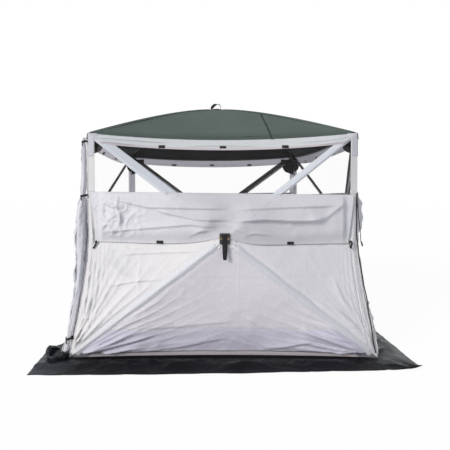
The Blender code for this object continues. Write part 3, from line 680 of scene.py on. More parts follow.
def metal(name, color, roughness):
    made, tree, shader, at = new_material(name)
    wire(tree, shader, {
        "Base Color": mottled(tree, at, 60.0, 0.4, 0.7, color, tuple(c * 0.7 for c in color), 4.0),
        "Normal": bump(tree, noise_node(tree, at, 300.0, 2.0), 0.0002, 0.4),
        "Roughness": roughness, "Metallic": 1.0,
    })
    return made


# Folds

FRONT_PANEL_FOLDS = (
    # line, height, soft side, sharp side
    (((-1.00, 0.86), (-0.87, 0.74), (-0.70, 0.60)), 0.014, 0.030, 0.010),
    (((-0.95, 0.545), (-0.66, 0.612), (-0.44, 0.632)), 0.007, 0.030, 0.006),
    (((-0.86, 0.80), (-0.49, 0.83), (-0.16, 0.85)), 0.005, 0.030, 0.006),
    (((-0.63, 0.82), (-0.655, 0.66), (-0.645, 0.48)), 0.007, 0.022, 0.008),
    (((-1.12, 0.045), (-0.967, 0.064), (-0.70, 0.140), (-0.48, 0.213)), 0.012, 0.040, 0.007),
    (((-0.95, 0.10), (-0.75, 0.19), (-0.60, 0.235)), 0.007, 0.030, 0.007),
    (((-0.79, 0.035), (-0.34, 0.085), (0.06, 0.165)), 0.008, 0.060, 0.006),
    (((-0.86, 0.045), (-0.72, 0.075), (-0.55, 0.062)), 0.006, 0.022, 0.006),
    (((0.26, 0.060), (0.50, 0.095), (0.74, 0.148)), 0.012, 0.050, 0.012),
    (((-0.62, 0.235), (0.10, 0.299)), 0.005, 0.040, 0.010),
    (((0.12, 0.373), (0.18, 0.319), (0.32, 0.236)), 0.007, 0.035, 0.010),
    (((1.16, 0.055), (0.90, 0.125), (0.569, 0.244)), 0.020, 0.030, 0.006),
    (((1.12, 0.045), (0.84, 0.085), (0.56, 0.150)), 0.013, 0.026, 0.006),
    (((1.15, 0.070), (0.98, 0.140), (0.68, 0.222)), 0.013, 0.020, 0.006),
    (((1.10, 0.10), (0.86, 0.235), (0.60, 0.330)), 0.009, 0.026, 0.006),
    (((1.13, 0.085), (0.95, 0.160), (0.76, 0.250)), 0.014, 0.030, 0.010),
    (((1.12, 0.16), (0.90, 0.36), (0.62, 0.47)), 0.009, 0.035, 0.012),
    (((1.06, 0.30), (0.93, 0.45), (0.84, 0.66)), 0.007, 0.030, 0.014),
)

FRONT_COVER_FOLDS = (
    (((-1.00, 1.285), (-0.893, 1.245), (-0.584, 1.176), (0.06, 1.164)), 0.015, 0.060, 0.009),
    (((0.05, 1.135), (0.126, 1.160), (0.50, 1.176), (0.90, 1.185)), 0.011, 0.060, 0.009),
    (((-0.564, 1.178), (-0.446, 1.136), (-0.209, 1.087), (0.10, 1.078)), 0.016, 0.055, 0.010),
    (((0.06, 1.070), (0.30, 1.085), (0.55, 1.069), (0.84, 1.076)), 0.025, 0.050, 0.007),
    (((0.60, 1.064), (0.80, 1.10), (1.04, 1.27)), 0.010, 0.060, 0.022),
    (((-0.98, 0.972), (-0.697, 1.005), (-0.252, 1.050), (0.02, 1.020)), 0.013, 0.055, 0.009),
    (((-0.10, 1.058), (0.051, 1.033), (0.102, 1.004), (0.185, 0.968)), 0.020, 0.040, 0.007),
    (((-1.0, 1.25), (-0.878, 1.191), (-0.70, 1.145)), 0.013, 0.020, 0.016),
    (((-0.96, 1.21), (-0.851, 1.120), (-0.76, 1.00)), 0.012, 0.022, 0.014),
    (((-0.86, 1.24), (-0.80, 1.12), (-0.79, 0.98)), 0.008, 0.020, 0.012),
    (((-0.30, 0.945), (-0.18, 1.000), (-0.05, 1.010)), 0.014, 0.030, 0.008),
    (((0.10, 0.955), (0.22, 0.985), (0.40, 0.960)), 0.010, 0.030, 0.010),
)

CORNER_FANS = (
    # x and z of the corner that pulls the cloth, its share, folds per radian, reach
    (-1.22, 0.0, 1.0, 15.0, 0.60),
    (1.22, 0.0, 1.0, 14.0, 0.52),
    (-1.1, 1.30, 0.45, 11.0, 0.42),
)


# Creases from the folded cloth's packing: the x of each upright one, and the height and
# depth of each level one
UPRIGHT_CREASES = (-0.66, 0.10, 0.62)
LEVEL_CREASES = ((0.235, 0.0045), (0.64, 0.0015))
CREASE_WIDTH = 0.006


def corner_fans(x, z, seed, amount):
    """Tension folds that spread from the foot corners, and shorter ones at the top."""
    total = np.zeros(np.shape(x))
    for k, (cx, cz, share, count, far) in enumerate(CORNER_FANS):
        dx, dz = x - cx, z - cz
        reach = np.hypot(dx, dz)
        angle = np.arctan2(dz, dx * np.sign(-cx))
        if k == 1:
            # the right foot pulls hardest low down
            share = 0.3 + 0.8 * ramp(0.74 - angle, 0.16)
        wobble = soft_noise(angle * 1.6, reach, 0.5, seed + k) * 2.4
        ray = 1 - np.abs(np.sin(angle * count + wobble))
        near = ramp(reach - 0.05, 0.18) * bell(reach, far)
        total += 0.7 * share * amount * ray ** 1.6 * near
        bend = soft_noise(angle * 2.1, reach, 0.35, seed + k + 7) * 3.2
        ray = 1 - np.abs(np.sin(angle * count * 2.6 + bend))
        near = ramp(reach - 0.03, 0.12) * bell(reach / far, 1.25)
        total += 0.42 * share * amount * ray ** 2 * near
    return total


def edge_streaks(x, z, seed):
    """Tight wrinkles that run down beside the left corner edge, where the cloth is pulled."""
    gap = corner_half(z) - np.abs(x)
    near = bell(gap - 0.085, 0.085) * bell(z - 0.56, 0.40)
    slip = gap + 0.030 * soft_noise(z * 0.9, gap, 0.16, seed) + 0.05 * (z - 0.5) ** 2
    streak = 1 - np.abs(np.sin(slip * 92 + 2.0 * soft_noise(gap, z, 0.25, seed + 1)))
    return 0.014 * near * streak ** 1.8 * np.where(x < 0, 1.0, 0.3)


def panel_folds(face, x, z):
    """How far the lower cloth of a wall stands out in its folds, packing creases and fans."""
    seed = seed_of(face, 11)
    lift = corner_fans(x, z, seed, 0.032) + edge_streaks(x, z, seed + 30)
    left_part = ramp(-x - 0.35, 0.5)
    lift += (0.0035 + 0.008 * left_part) * ridges(x, z, 0.20, seed + 5)
    lift += (0.0012 + 0.004 * left_part) * ridges(x, z, 0.085, seed + 9)
    lift += 0.008 * soft_noise(x, z, 0.42, seed + 13)
    low = ramp(0.26 - z, 0.12)
    corners = bell(np.abs(x) - 1.0, 0.35)
    slant = np.where(x < 0, z - 0.35 * x, z + 0.35 * x)
    lift += (0.003 + 0.003 * corners) * low * ridges(x * 0.35, slant, 0.060, seed + 17)
    lift += 0.004 * low * ridges(x * 0.25, slant * 1.3, 0.045, seed + 21) ** 2
    for at in UPRIGHT_CREASES:
        lift += 0.0012 * bell(x - at - 0.01 * z, CREASE_WIDTH)
    for at, deep in LEVEL_CREASES:
        lift -= deep * bell(z - at, CREASE_WIDTH)
    if face == "front":
        lift += folds_of(FRONT_PANEL_FOLDS, x, z)
    edges = ramp(corner_half(z) - np.abs(x), 0.035) * ramp(z - HEM_Z, 0.03)
    covered = ramp(cover_edge(x) + 0.01 - z, 0.05)
    beside = ramp(np.abs(x) - cover_half(z) - 0.005, 0.03) * ramp(sill(x) - z, 0.03)
    under_sleeve = 1 - 0.88 * np.exp(-(diagonal_gap(x, z) / 0.046) ** 4)
    round_hub = ramp(np.hypot(x, z - HUB.z) - 0.07, 0.12)
    return lift * edges * np.maximum(covered, beside) * under_sleeve * round_hub


def diagonal_gap(x, z):
    """Distance from the nearest of the lines that run from the hub to the four corners."""
    ends = ((EAVE_HALF, EAVE_Z - HUB.z), (BASE_HALF, HEM_Z - HUB.z))
    gaps = []
    for ex, ez in ends:
        length = math.hypot(ex, ez)
        gaps.append(np.abs(np.abs(x) * ez - (z - HUB.z) * ex) / length)
    return np.minimum(*gaps)


COVER_HALF = 1.005
COVER_SPREAD = 0.130
COVER_LOW = 0.897
COVER_OVER_SLEEVE = 0.0045
# Further out than this the cover lies flat, under the path of the zip pulls
COVER_FREE = 0.990


def cover_half(z):
    """Half the folded cover's width, which grows from its free edge up to its hinge."""
    return COVER_HALF + COVER_SPREAD * np.clip(z - COVER_LOW, 0, None)


def cover_edge(x):
    """Height of the folded cover's free edge, which is drawn up where the hub clamps it."""
    width = np.where(x < 0, 0.20, 0.13)
    return COVER_LOW + 0.058 * np.exp(-(np.abs(x) / width) ** 1.4) - 0.014 * np.clip(x, 0, 1)


def cover_folds(face, x, z):
    """How far the folded window cover stands out from the wall's plain cloth."""
    seed = seed_of(face, 211)
    low = cover_edge(x)
    hang = ramp(sill(x) - z, 0.10) * ramp(z - low, 0.10)
    lift = 0.012 * hang
    lift += hang * 0.016 * soft_noise(x * 0.5, z, 0.11, seed)
    lift += hang * 0.006 * ridges(x * 0.8, z, 0.13, seed + 3)
    corner = bell(np.hypot(x + 0.92, z - 1.12), 0.26)
    lift += 0.024 * corner * ridges(x, z, 0.075, seed + 5) ** 1.5 * hang
    lift += 0.014 * corner * ridges(x, z, 0.036, seed + 6) ** 1.5 * hang
    fade = ramp(z - low, 0.05) * ramp(sill(x) - z, 0.02)
    if face == "front":
        lift += folds_of(FRONT_COVER_FOLDS, x, z) * fade
    else:
        for k in range(3):
            at = 0.99 + 0.085 * k
            line = [(s, at + 0.035 * math.sin(2.1 * s + 1.7 * k + seed))
                    for s in np.linspace(-0.95, 0.95, 9)]
            lift += fold_along(x, z, line, 0.013, 0.050, 0.009) * fade
    on_sleeve = np.exp(-(diagonal_gap(x, z) / 0.045) ** 4) * ramp(z - sill(x) + 0.09, 0.06)
    sleeve = COVER_OVER_SLEEVE * on_sleeve
    near_hub = ramp(np.hypot(x, z - HUB.z) - 0.06, 0.12)
    wave = 0.0020 * np.sin(x * 21 + 2 * np.sin(x * 7)) * np.exp(-(z - low) / 0.04)
    ends = ramp(COVER_FREE - np.abs(x), 0.05)
    return 0.0035 + sleeve + (lift + wave + 0.0015) * near_hub * (0.25 + 0.75 * ends)


# Sizes of the netting, trims and straps
SCREEN_BACK = 0.004
SLEEVE_HALF = 0.037
SLEEVE_LIFT = 0.0022
LOWER_RIDGE = 0.0058
UPPER_RIDGE = 0.0015
UPPER_SLEEVE = {("top", 0): 0.062, ("top", 1): 0.045, ("left", 1): 0.018, ("right", 0): 0.015}
SLEEVE_START = 0.085
SLEEVE_UNDER = 0.004
SLEEVE_HEM = 0.007
TAB_WIDTH = 0.054
TAB_HEIGHT = 0.026
TAB_THICK = 0.0025
BAND_TAB_DROP = 0.062
COVER_TAB_RISE = 0.012
BAND_TABS = (-0.488, 0.005, 0.506)
COVER_TABS = (-0.489, 0.510)


def wedge(sector):
    """Planes, each a point and a normal, outside which a wall mesh isn't in the sector."""
    a, b = (Vector(p) for p in border(sector, np.array([0.0, 1.0])))
    inner = Vector((a.x + b.x, 0, a.z + b.z)) / 2 - Vector((HUB.x, 0, HUB.z))
    planes = []
    for corner in (a, b):
        normal = Vector((corner.z - HUB.z, 0, HUB.x - corner.x)).normalized()
        planes.append((HUB, normal if normal.dot(inner) < 0 else -normal))
    return planes


# Main cloth of the walls

# The right sectors take a paler copy of the wall cloth, painted light, and the top and bottom sectors a
# darker, bluer copy, painted shade.
PANEL_CLOTH = {"top": "panel_painted_shade", "bottom": "panel_painted_shade", "left": "panel", "right": "panel_right"}


def build_panel(face):
    """The lower cloth, up to the sill of the windows."""
    for sector in sectors_of(face):
        side = sector in ("right", "left")
        columns, rows = finer(face, (160, 100) if side else (150, 90), (84, 52))
        outer = 1 - EDGE_SHARE["right" if side else "bottom"]
        mesh = grid_mesh("panel", sector_grid(sector, HUB_HOLE_R, outer, columns, rows))
        if sector != "bottom":
            cut_away(mesh, sill_plane(1))
        sew_wall(face, "panel", sector, mesh, PANEL_CLOTH[sector], "front_lower_panel",
                 PANEL_FLAT[sector], inside="lining", lift=lambda x, z: panel_folds(face, x, z))


def build_screens(face):
    """The netting above the sill, just behind the wall's plain cloth."""
    seed = seed_of(face, 400, 1)
    for sector in sectors_of(face, ("top", "right", "left")):
        outer = 1 - EDGE_SHARE[sector] + 0.01
        mesh = grid_mesh("screen", sector_grid(sector, HUB_HOLE_R, outer, 60, 44))
        cut_away(mesh, sill_plane(-1, 0.01))
        sew(f"{face}_netting_{sector}", mesh, "netting", face, sector=sector, slot="screen",
            thick=CLOTH_THICK / 2, replaces=face + "_screen",
            lift=lambda x, z: -SCREEN_BACK - 0.006 * soft_noise(x, z, 0.3, seed),
            sheet=(SCREEN_FLAT[sector], "stretched", poles_of(face)))


# Sleeves over the poles

def sleeve_frame(sector, end):
    """Direction and length of a sector's edge from the hub to a corner, and its way inwards."""
    step = 0.001 if end == 0 else -0.001
    corner, near = border(sector, np.array([float(end), end + step]))
    along = corner - HUB_AT
    length = np.linalg.norm(along)
    along = along / length
    side = near - corner
    side = side - along * side.dot(along)
    return along, side / np.linalg.norm(side), length


def sleeve_width(sector, end):
    """How wide a sleeve is on one sector's side of its pole."""
    return UPPER_SLEEVE.get((sector, end), SLEEVE_HALF)


def sleeve_lift(s, d, first, last, wide, ridge):
    """A sleeve's height over the wall: a ridge on the pole and a flat sewn edge."""
    away = np.clip(d / wide, 0, 1)
    rise = ridge * (1 - away) ** 1.15 * (1 - 0.35 * bell(d, 0.005))
    edge = 1 - 0.75 * ramp(d - wide + 0.006, 0.006)
    groove = -0.0009 * bell(d - wide + SLEEVE_HEM, 0.0016)
    pucker = 0.0005 * np.sin(s * 95 + 2 * np.sin(s * 23)) * ramp(d - 0.012, 0.010)
    slack = 0.0012 * np.sin(s * 17 + d * 40) * ramp(d, 0.012)
    ends = ramp(s - first, 0.05) * ramp(last - s, 0.03)
    return 0.0008 + (SLEEVE_LIFT + rise + groove + pucker + slack) * edge * ends


def sleeve_points(sector, end, d, count, inset=0.0, above=0.0):
    """Rows of points along one half of a sleeve, at distances d from its pole."""
    along, side, length = sleeve_frame(sector, end)
    last = length * (1 - EDGE_SHARE[sector] + 0.008)
    wide = sleeve_width(sector, end)
    ridge = LOWER_RIDGE if wide == SLEEVE_HALF else UPPER_RIDGE
    s = np.linspace(SLEEVE_START + inset, last - inset, count)[:, None]
    d = np.atleast_1d(d)[None, :]
    flat = HUB_AT + s[..., None] * along + d[..., None] * side
    return lifted(flat, sleeve_lift(s, d, SLEEVE_START, last, wide, ridge) + above)


def sleeve_half(sector, end):
    """Half of one sleeve: the part on one sector's side of the pole."""
    d = np.array([0, 2.5, 5, 8, 11, 14, 18, 22, 26, 28.5, 30.5, 32.5, 35, 37.5]) / 37.5
    d = d * sleeve_width(sector, end)
    return grid_mesh("sleeve", sleeve_points(sector, end, d if end == 0 else d[::-1], 120))


def sleeve_line(sector, end, d):
    """Points just above a sleeve, at one distance from its pole."""
    return sleeve_points(sector, end, d, 90, 0.01, 0.0004)[:, 0]


def without_covered_part(mesh):
    """Leave out what lies between the hub and the sill, where the folded cover hides it."""
    low = SILL_Z - SLEEVE_UNDER
    with opened(mesh) as bm:
        slice_plane(bm, (0, 0, low), (SILL_TILT, 0, 1))
        slice_plane(bm, (0, 0, HUB.z), (0, 0, 1))
        centers = {part: part.calc_center_median() for part in bm.faces}
        hidden = [part for part, at in centers.items() if HUB.z < at.z < low - SILL_TILT * at.x]
        bmesh.ops.delete(bm, geom=hidden, context="FACES")
    return mesh


def build_sleeves(face):
    """The sleeves over the poles, paler below the hub."""
    for sector in SECTORS:
        mesh = joined("sleeves", [sleeve_half(sector, end) for end in (0, 1)])
        if sector == "top":
            cut_away(mesh, sill_plane(-1, SLEEVE_UNDER))
        elif sector != "bottom":
            without_covered_part(mesh)
        mesh.shade_smooth()
        low = [int(part.center.z < HUB.z) for part in mesh.polygons]
        mesh.polygons.foreach_set("material_index", low)
        # Inside, the sleeves take a dark lining that is painted shade.
        sew_wall(face, "sleeves", sector, mesh, "sleeve sleeve_low", "front_upper_frame",
                 SLEEVE_FLAT[sector], inside="sleeve_inside_painted_shade")


def tube(path, radius, sides, wobble=lambda i, a: 0.0):
    """A closed round skin along a path."""
    path = np.asarray(path, float)
    rows = len(path)
    step = np.gradient(path, axis=0)
    step = step / np.linalg.norm(step, axis=1)[:, None]
    across = np.cross(step, np.array([0.0, 0.0, 1.0]) + 0.01)
    across = across / np.linalg.norm(across, axis=1)[:, None]
    up = np.cross(across, step)
    angle = 2 * np.pi * np.arange(sides)[None] / sides
    reach = np.full((rows, sides), radius) + wobble(np.arange(rows)[:, None], angle)
    ring_way = across[:, None] * np.cos(angle)[..., None] + up[:, None] * np.sin(angle)[..., None]
    faces = quads_of(rows, sides, around=True).tolist()
    faces += [tuple(range(sides - 1, -1, -1)), tuple(range((rows - 1) * sides, rows * sides))]
    return facing_out(mesh_of("tube", path[:, None] + reach[..., None] * ring_way, faces))


POCKET_R = 0.0095
POCKET_START = 0.035
POCKET_STOP = 0.045
# Where a roof pole's pocket starts and ends, as shares of the way out, and its length
ROOF_POCKET = (0.93, 0.13)
ROOF_POCKET_RUN = 1.27


def build_pocket(pole, face, path, run, seed, cloth, slot):
    """The cloth tunnel that a pole runs in."""
    mesh = tube(path, POCKET_R, 14, lambda i, a: 0.0006 * np.sin(3 * a + i * 0.8 + seed)
                + 0.0005 * np.sin(i * 1.7 + a))
    sew(pole + "_pocket", mesh, cloth, face, body=pole, slot=slot, thick=None,
        area=0.5 * sewn_area(mesh), sheet=((2 * math.pi * POCKET_R, run), "stretched", [pole]))


def build_pockets(face):
    """Pockets on a wall's four poles, clear of the pivots and the hub."""
    for level, corner in (("upper", TOP_CORNER), ("lower", BASE_CORNER)):
        ridge = (HUB - corner).normalized()
        pivot = corner + ridge * PIVOT_BACK - OUT * POLE_INSET
        end = HUB - ridge * HUB_REACH - OUT * POLE_INSET
        length = (end - pivot).length
        share = np.linspace(POCKET_START / length, 1 - POCKET_STOP / length, 60)
        path = np.array(pivot) + share[:, None] * np.array(end - pivot)
        for side, sign in SIDES:
            build_pocket(f"{face}_pole_{level}_{side}", face, path * (sign, 1, 1),
                         length - POCKET_START - POCKET_STOP, sign, "lining", "cloth_grey")


# Edge strips, hems and bands

# Where the two rows of stitches run on a strip, from its inner line (0) to the edge (1)
STRIP_SEAMS = (0.22, 0.90)


def edge_strip(sector, rows, columns, lift):
    """A strip along a wall's edge, from its inner line out to the edge."""
    edge = border(sector, np.linspace(0, 1, columns + 1))
    v = np.linspace(0, 1, rows + 1)[:, None]
    u = np.linspace(0, 1, columns + 1)[None, :]
    part = 1 - EDGE_SHARE[sector] * (1 - v)
    noise = soft_noise(u * 2.2 + 0 * v, v * 0.15 + 0 * u, 0.16, 600 + SECTORS.index(sector))
    rise = lift * strip_shape(v) + 0.0010 * (noise - 0.5) * np.sin(np.pi * v)
    return grid_mesh("strip", lifted(HUB_AT + part[..., None] * (edge - HUB_AT)[None], rise))


def strip_shape(v):
    """Turned-in hem at the inner line, a stitch groove beside it, then plain to the edge."""
    hem = 1.0 + 0.45 * (1 - ramp(v - 0.17, 0.06))
    groove = -0.35 * bell(v - STRIP_SEAMS[0], 0.03) - 0.3 * bell(v - STRIP_SEAMS[1], 0.03)
    return (hem + groove) * ramp(1.02 - v, 0.10) * ramp(v + 0.02, 0.03)


def build_edges(face):
    """The eave band, the strips down the corners and the hem tape."""
    for sector in SECTORS:
        side = sector in ("right", "left")
        columns = finer(face, 200, 90)
        rows = 24 if sector == "top" else 14
        mesh = edge_strip(sector, rows, columns, EDGE_LIFT[sector])
        if sector == "top":
            push(mesh, lambda x, z: band_folds(face, x, z))
        cloths, node = ("strip tape" if side else "band tape"), "front_upper_frame"
        index = np.zeros((rows, columns), np.int32)
        # The band's lowest rows take the darker lilac tape: partly tape colour, partly painted shade of the
        # band's turned-in hem.
        index[:{"top": 5, "bottom": rows}.get(sector, 0)] = 1
        if sector == "bottom":
            cloths, node = cloths + " hem_patch", "front_lower_panel"
            end = int(0.062 * columns)
            index[:, :end] = index[:, -end:] = 2
        mesh.polygons.foreach_set("material_index", index.ravel())
        if side:
            cut_away(mesh, sill_plane(-1))
            build_side_foot(face, sector)
        sew_wall(face, "edge", sector, mesh, cloths, node, STRIP_FLAT[sector],
                 share=EDGE_SHARE[sector], inside="lining")


def build_side_foot(face, sector):
    """The lower cloth's own edge beside a corner, below the sill."""
    mesh = edge_strip(sector, 14, finer(face, 260, 120), 0.0)
    cut_away(mesh, sill_plane(1))
    sew_wall(face, "foot_edge", sector, mesh, PANEL_CLOTH[sector], "front_lower_panel", FOOT_FLAT,
             share=EDGE_SHARE[sector], inside="lining", lift=lambda x, z: panel_folds(face, x, z))


BAND_FOLDS = (
    (((-1.06, 1.70), (-0.90, 1.690), (-0.62, 1.665)), 0.010, 0.022, 0.006),
    (((-1.05, 1.735), (-0.80, 1.715), (-0.40, 1.688)), 0.009, 0.020, 0.005),
    (((1.06, 1.745), (0.86, 1.712), (0.55, 1.690)), 0.012, 0.020, 0.005),
    (((1.06, 1.72), (0.90, 1.690), (0.72, 1.668)), 0.010, 0.018, 0.005),
    (((1.05, 1.757), (0.70, 1.738), (0.30, 1.712)), 0.009, 0.018, 0.005),
    (((-0.35, 1.665), (0.0, 1.672), (0.34, 1.664)), 0.006, 0.022, 0.006),
)


def band_folds(face, x, z):
    """Slack folds that run from the corners along the eave band."""
    seed = seed_of(face, 501)
    lift = folds_of(BAND_FOLDS, x, z) if face == "front" else 0.006 * ridges(x * 0.35, z, 0.045, seed)
    top = eave_line(x)[0]
    inside = ramp(top - 0.004 - z, 0.020) * ramp(EAVE_HALF - 0.02 - np.abs(x), 0.08)
    held = ramp(z - top + BAND_HEIGHT, 0.02)
    return (lift + 0.003 * soft_noise(x, z, 0.10, seed + 1)) * inside * held


def wall_sheet(xs, zs, lift):
    """A patch of cloth from a grid of points seen from the front, lifted off the wall."""
    px, pz = np.meshgrid(xs, zs[::-1])
    return grid_mesh("patch", on_wall(px, pz, lift(px, pz)), flip=True)


# Width and lowest point of the doubled cloth on an upper corner, on the band and beside it
BAND_PATCH = (0.078, EAVE_Z - BAND_HEIGHT)
SIDE_PATCH = (0.053, 1.580)


def build_corner_patches(face):
    """Doubled cloth on the upper corners, where band, strip and sleeve meet."""
    for side, sign in SIDES:
        for sector, (wide, low), rows in (("top", BAND_PATCH, 22), (side, SIDE_PATCH, 44)):
            xs = np.sort(np.linspace(EAVE_HALF - wide, EAVE_HALF - 0.002, 22) * sign)
            zs = np.linspace(low, EAVE_Z - 0.004, rows)

            def lift(x, z):
                gap = np.minimum(np.abs(x) - EAVE_HALF + wide, z - low)
                return 0.0052 * ramp(gap + 0.002, 0.006) + 0.0012 * soft_noise(x, z, 0.02, 71)

            mesh = cut_away(wall_sheet(xs, zs, lift), *wedge(sector))
            sew(f"{face}_patch_{side}_{sector}", mesh, "patch", face, sector=sector,
                share=EDGE_SHARE[sector])


GUSSET_CORNER = (1.073, 1.735)
GUSSET_REACH = {"front": (0.142, 0.142), "back": (0.165, 0.200),
                "right": (0.150, 0.170), "left": (0.150, 0.170)}


def build_gussets(face):
    """Dark corner pockets behind the cloth: quarter rounds over the joints of three poles."""
    cx, cz = GUSSET_CORNER
    wide, tall = GUSSET_REACH[face]
    r = np.linspace(0.02, 1.0, 22)[:, None]
    a = np.linspace(0, np.pi / 2, 30)[None, :]
    rim = 1 + 0.03 * np.sin(7 * a + 2.0)
    z = cz - tall * r * rim * np.sin(a)
    bulge = 0.040 * np.cos(r * np.pi / 2) ** 0.7 * np.sin(2 * a) ** 0.5
    ribs = 0.004 * np.cos(a * 14 + 3 * r) * ramp(r - 0.2, 0.3)
    depth = -0.0085 - bulge - ribs * np.sin(r * np.pi)
    for side, sign in SIDES:
        for sector in sectors_of(face, ("top", side)):
            x = sign * (cx - wide * r * rim * np.cos(a))
            mesh = grid_mesh("gusset", on_wall(x, z, depth), flip=sign < 0)
            sew(f"{face}_gusset_{side}_{sector}", cut_away(mesh, *wedge(sector)), "pocket", face,
                sector=sector, slot="cloth_black")


def tab_on(x, z, lift):
    """A small sewn tab on the wall, its edges rounded over."""
    def rise(px, pz):
        du, dv = 2 * (px - x) / TAB_WIDTH, 2 * (pz - z) / TAB_HEIGHT
        return lift + TAB_THICK * (1 - np.abs(du) ** 8) * (1 - np.abs(dv) ** 8)

    return wall_sheet(x + np.linspace(-0.5, 0.5, 13) * TAB_WIDTH,
                      z + np.linspace(-0.5, 0.5, 7) * TAB_HEIGHT, rise)


def build_tabs(face):
    """Hook-and-loop tabs: three on the eave band and two on the folded cover's edge."""
    band_z = EAVE_Z - EAVE_SAG - BAND_TAB_DROP
    mesh = joined("tabs", [tab_on(x, band_z, EDGE_LIFT["top"] + 0.002) for x in BAND_TABS])
    sew(face + "_band_tabs", mesh, "webbing", face, sector="top", share=EDGE_SHARE["top"],
        slot="webbing", thick=TAPE_THICK)
    for side, x in zip(("left", "right"), COVER_TABS):
        if side in sectors_of(face):
            z = float(cover_edge(np.array(x))) + COVER_TAB_RISE
            sew(f"{face}_cover_tab_{side}", tab_on(x, z, cover_height(face, x, z) + 0.003), "webbing",
                face, sector=side, slot="webbing", thick=TAPE_THICK)


# Window covers, folded down

COVER_ROUND = (0.17, 0.11)
COVER_STAND = 0.010
# How much more cloth the hanging cover takes than the wall that it covers
COVER_SLACK = 1.12


def loose_depth(x, z):
    """The y of loose cloth that lies over the wall: rounded where the wall has its pole ridges."""
    away = ramp(np.hypot(x, z - HUB.z) - 0.08, 0.25)
    total = np.zeros(np.shape(x))
    for i in (-1.0, -0.5, 0.0, 0.5, 1.0):
        for k in (-1.0, 0.0, 1.0):
            total += wall_depth(x + i * COVER_ROUND[0] * away, z + k * COVER_ROUND[1] * away)
    held = ramp(sill(x) + 0.002 - z, 0.025) * ramp(z - cover_edge(x) + 0.01, 0.09)
    ridge = bell(diagonal_gap(x, z), 0.11) * ramp(z - HUB.z - 0.12, 0.10)
    held = np.maximum(held, ridge) * ramp(COVER_FREE - np.abs(x), 0.12)
    free = ramp(COVER_FREE + 0.01 - np.abs(x), 0.06)
    return total / 15 - COVER_STAND * away * (0.3 * free + 0.8 * held)


def cover_height(face, x, z):
    """How far the folded cover stands off the wall's plain cloth at one point."""
    x, z = np.array([float(x)]), np.array([float(z)])
    return float((cover_folds(face, x, z) + wall_depth(x, z) - loose_depth(x, z))[0])


def build_cover(face):
    """The window cover, which hangs folded down over the lower cloth."""
    columns, rows = finer(face, (320, 64), (150, 32))
    x = np.linspace(-COVER_HALF, COVER_HALF, columns + 1)
    low = cover_edge(x)[None, :]
    pz = low + (sill(x)[None, :] - low) * np.linspace(1, 0, rows + 1)[:, None]
    px = x[None, :] * cover_half(pz) / COVER_HALF
    plain = on_wall(px, pz)
    loose = lifted(stacked(px, loose_depth(px, pz), pz), cover_folds(face, px, pz))
    for sector in sectors_of(face, ("top", "right", "left")):
        planes = wedge(sector)
        if sector != "top":
            side = 1 if sector == "right" else -1
            # the parts at the sides meet on the middle line, below the hub
            planes = [planes[0 if side > 0 else 1], ((0, 0, 0), (-side, 0, 0))]
        mesh = cut_away(grid_mesh("cover", loose, flip=True), *planes)
        area = sewn_area(cut_away(grid_mesh("cover", plain, flip=True), *planes)) * COVER_SLACK
        sew(f"{face}_cover_{sector}", mesh, "cover", face, sector=sector, inside="lining",
            replaces=node_of(face, "front_window_flap"),
            sheet=(COVER_FLAT, "gathered", [face + "_panel_" + sector]), area=area)


# Hubs

HUB_GATHERS = 21


def build_hub_cloth(face):
    """The small cone of gathered cloth that the hub's outer plate clamps."""
    grids = []
    part = np.linspace(0.020, HUB_PATCH_R, 15)[:, None]
    for sector in SECTORS:
        spokes = border(sector, np.linspace(0, 1, 37)) - HUB_AT
        ways = spokes / np.linalg.norm(spokes, axis=-1)[:, None]
        grid = HUB_AT + ways[None] * part[..., None]
        angle = np.arctan2(grid[..., 2] - HUB.z, grid[..., 0])
        gather = 0.0022 * np.cos(angle * HUB_GATHERS) * ramp(part - 0.045, 0.03)
        lift = 0.0012 * ramp(part - 0.03, 0.03) + gather
        grids.append(grid_mesh("hub_cloth", lifted(grid, lift)))
    sew(face + "_hub_cloth", weld(joined("hub_cloth", grids)), "panel", face, body=face + "_hub_body",
        inside="lining", sheet=(HUB_CLOTH_FLAT, "gathered", [face + "_hub"]))


EYELET_X = 0.023
EYELET_R = 0.0072
EYELET_WIRE = 0.0022


def ring(center, axis, radius, wire_r, around=28, sides=8):
    """A rolled metal ring round an axis."""
    axis = Vector(axis).normalized()
    first = axis.orthogonal().normalized()
    second = axis.cross(first)
    a = (2 * np.pi * np.arange(around) / around)[:, None, None]
    b = (2 * np.pi * np.arange(sides) / sides)[None, :, None]
    out = np.array(first) * np.cos(a) + np.array(second) * np.sin(a)
    points = np.array(center) + out * (radius + wire_r * np.cos(b)) + np.array(axis) * wire_r * np.sin(b)
    return facing_out(mesh_of("ring", points, quads_of(around, sides, True, True).tolist()))


def build_eyelets(face):
    """A brass eyelet on each side of the hub's plate."""
    rings = [ring(HUB + Vector((sign * EYELET_X, 0, 0)) + OUT * 0.0006, OUT, EYELET_R, EYELET_WIRE)
             for _, sign in SIDES]
    sew(face + "_hub_eyelets", joined("eyelets", rings), "brass", face, body=face + "_hub_body",
        slot="zip_metal", thick=None)


STRAP_TOP = 0.030
STRAP_DROP = 0.187
STRAP_HALF = (0.019, 0.015)
STRAP_STAND = 0.0053
STRAP_THICK = 0.0022


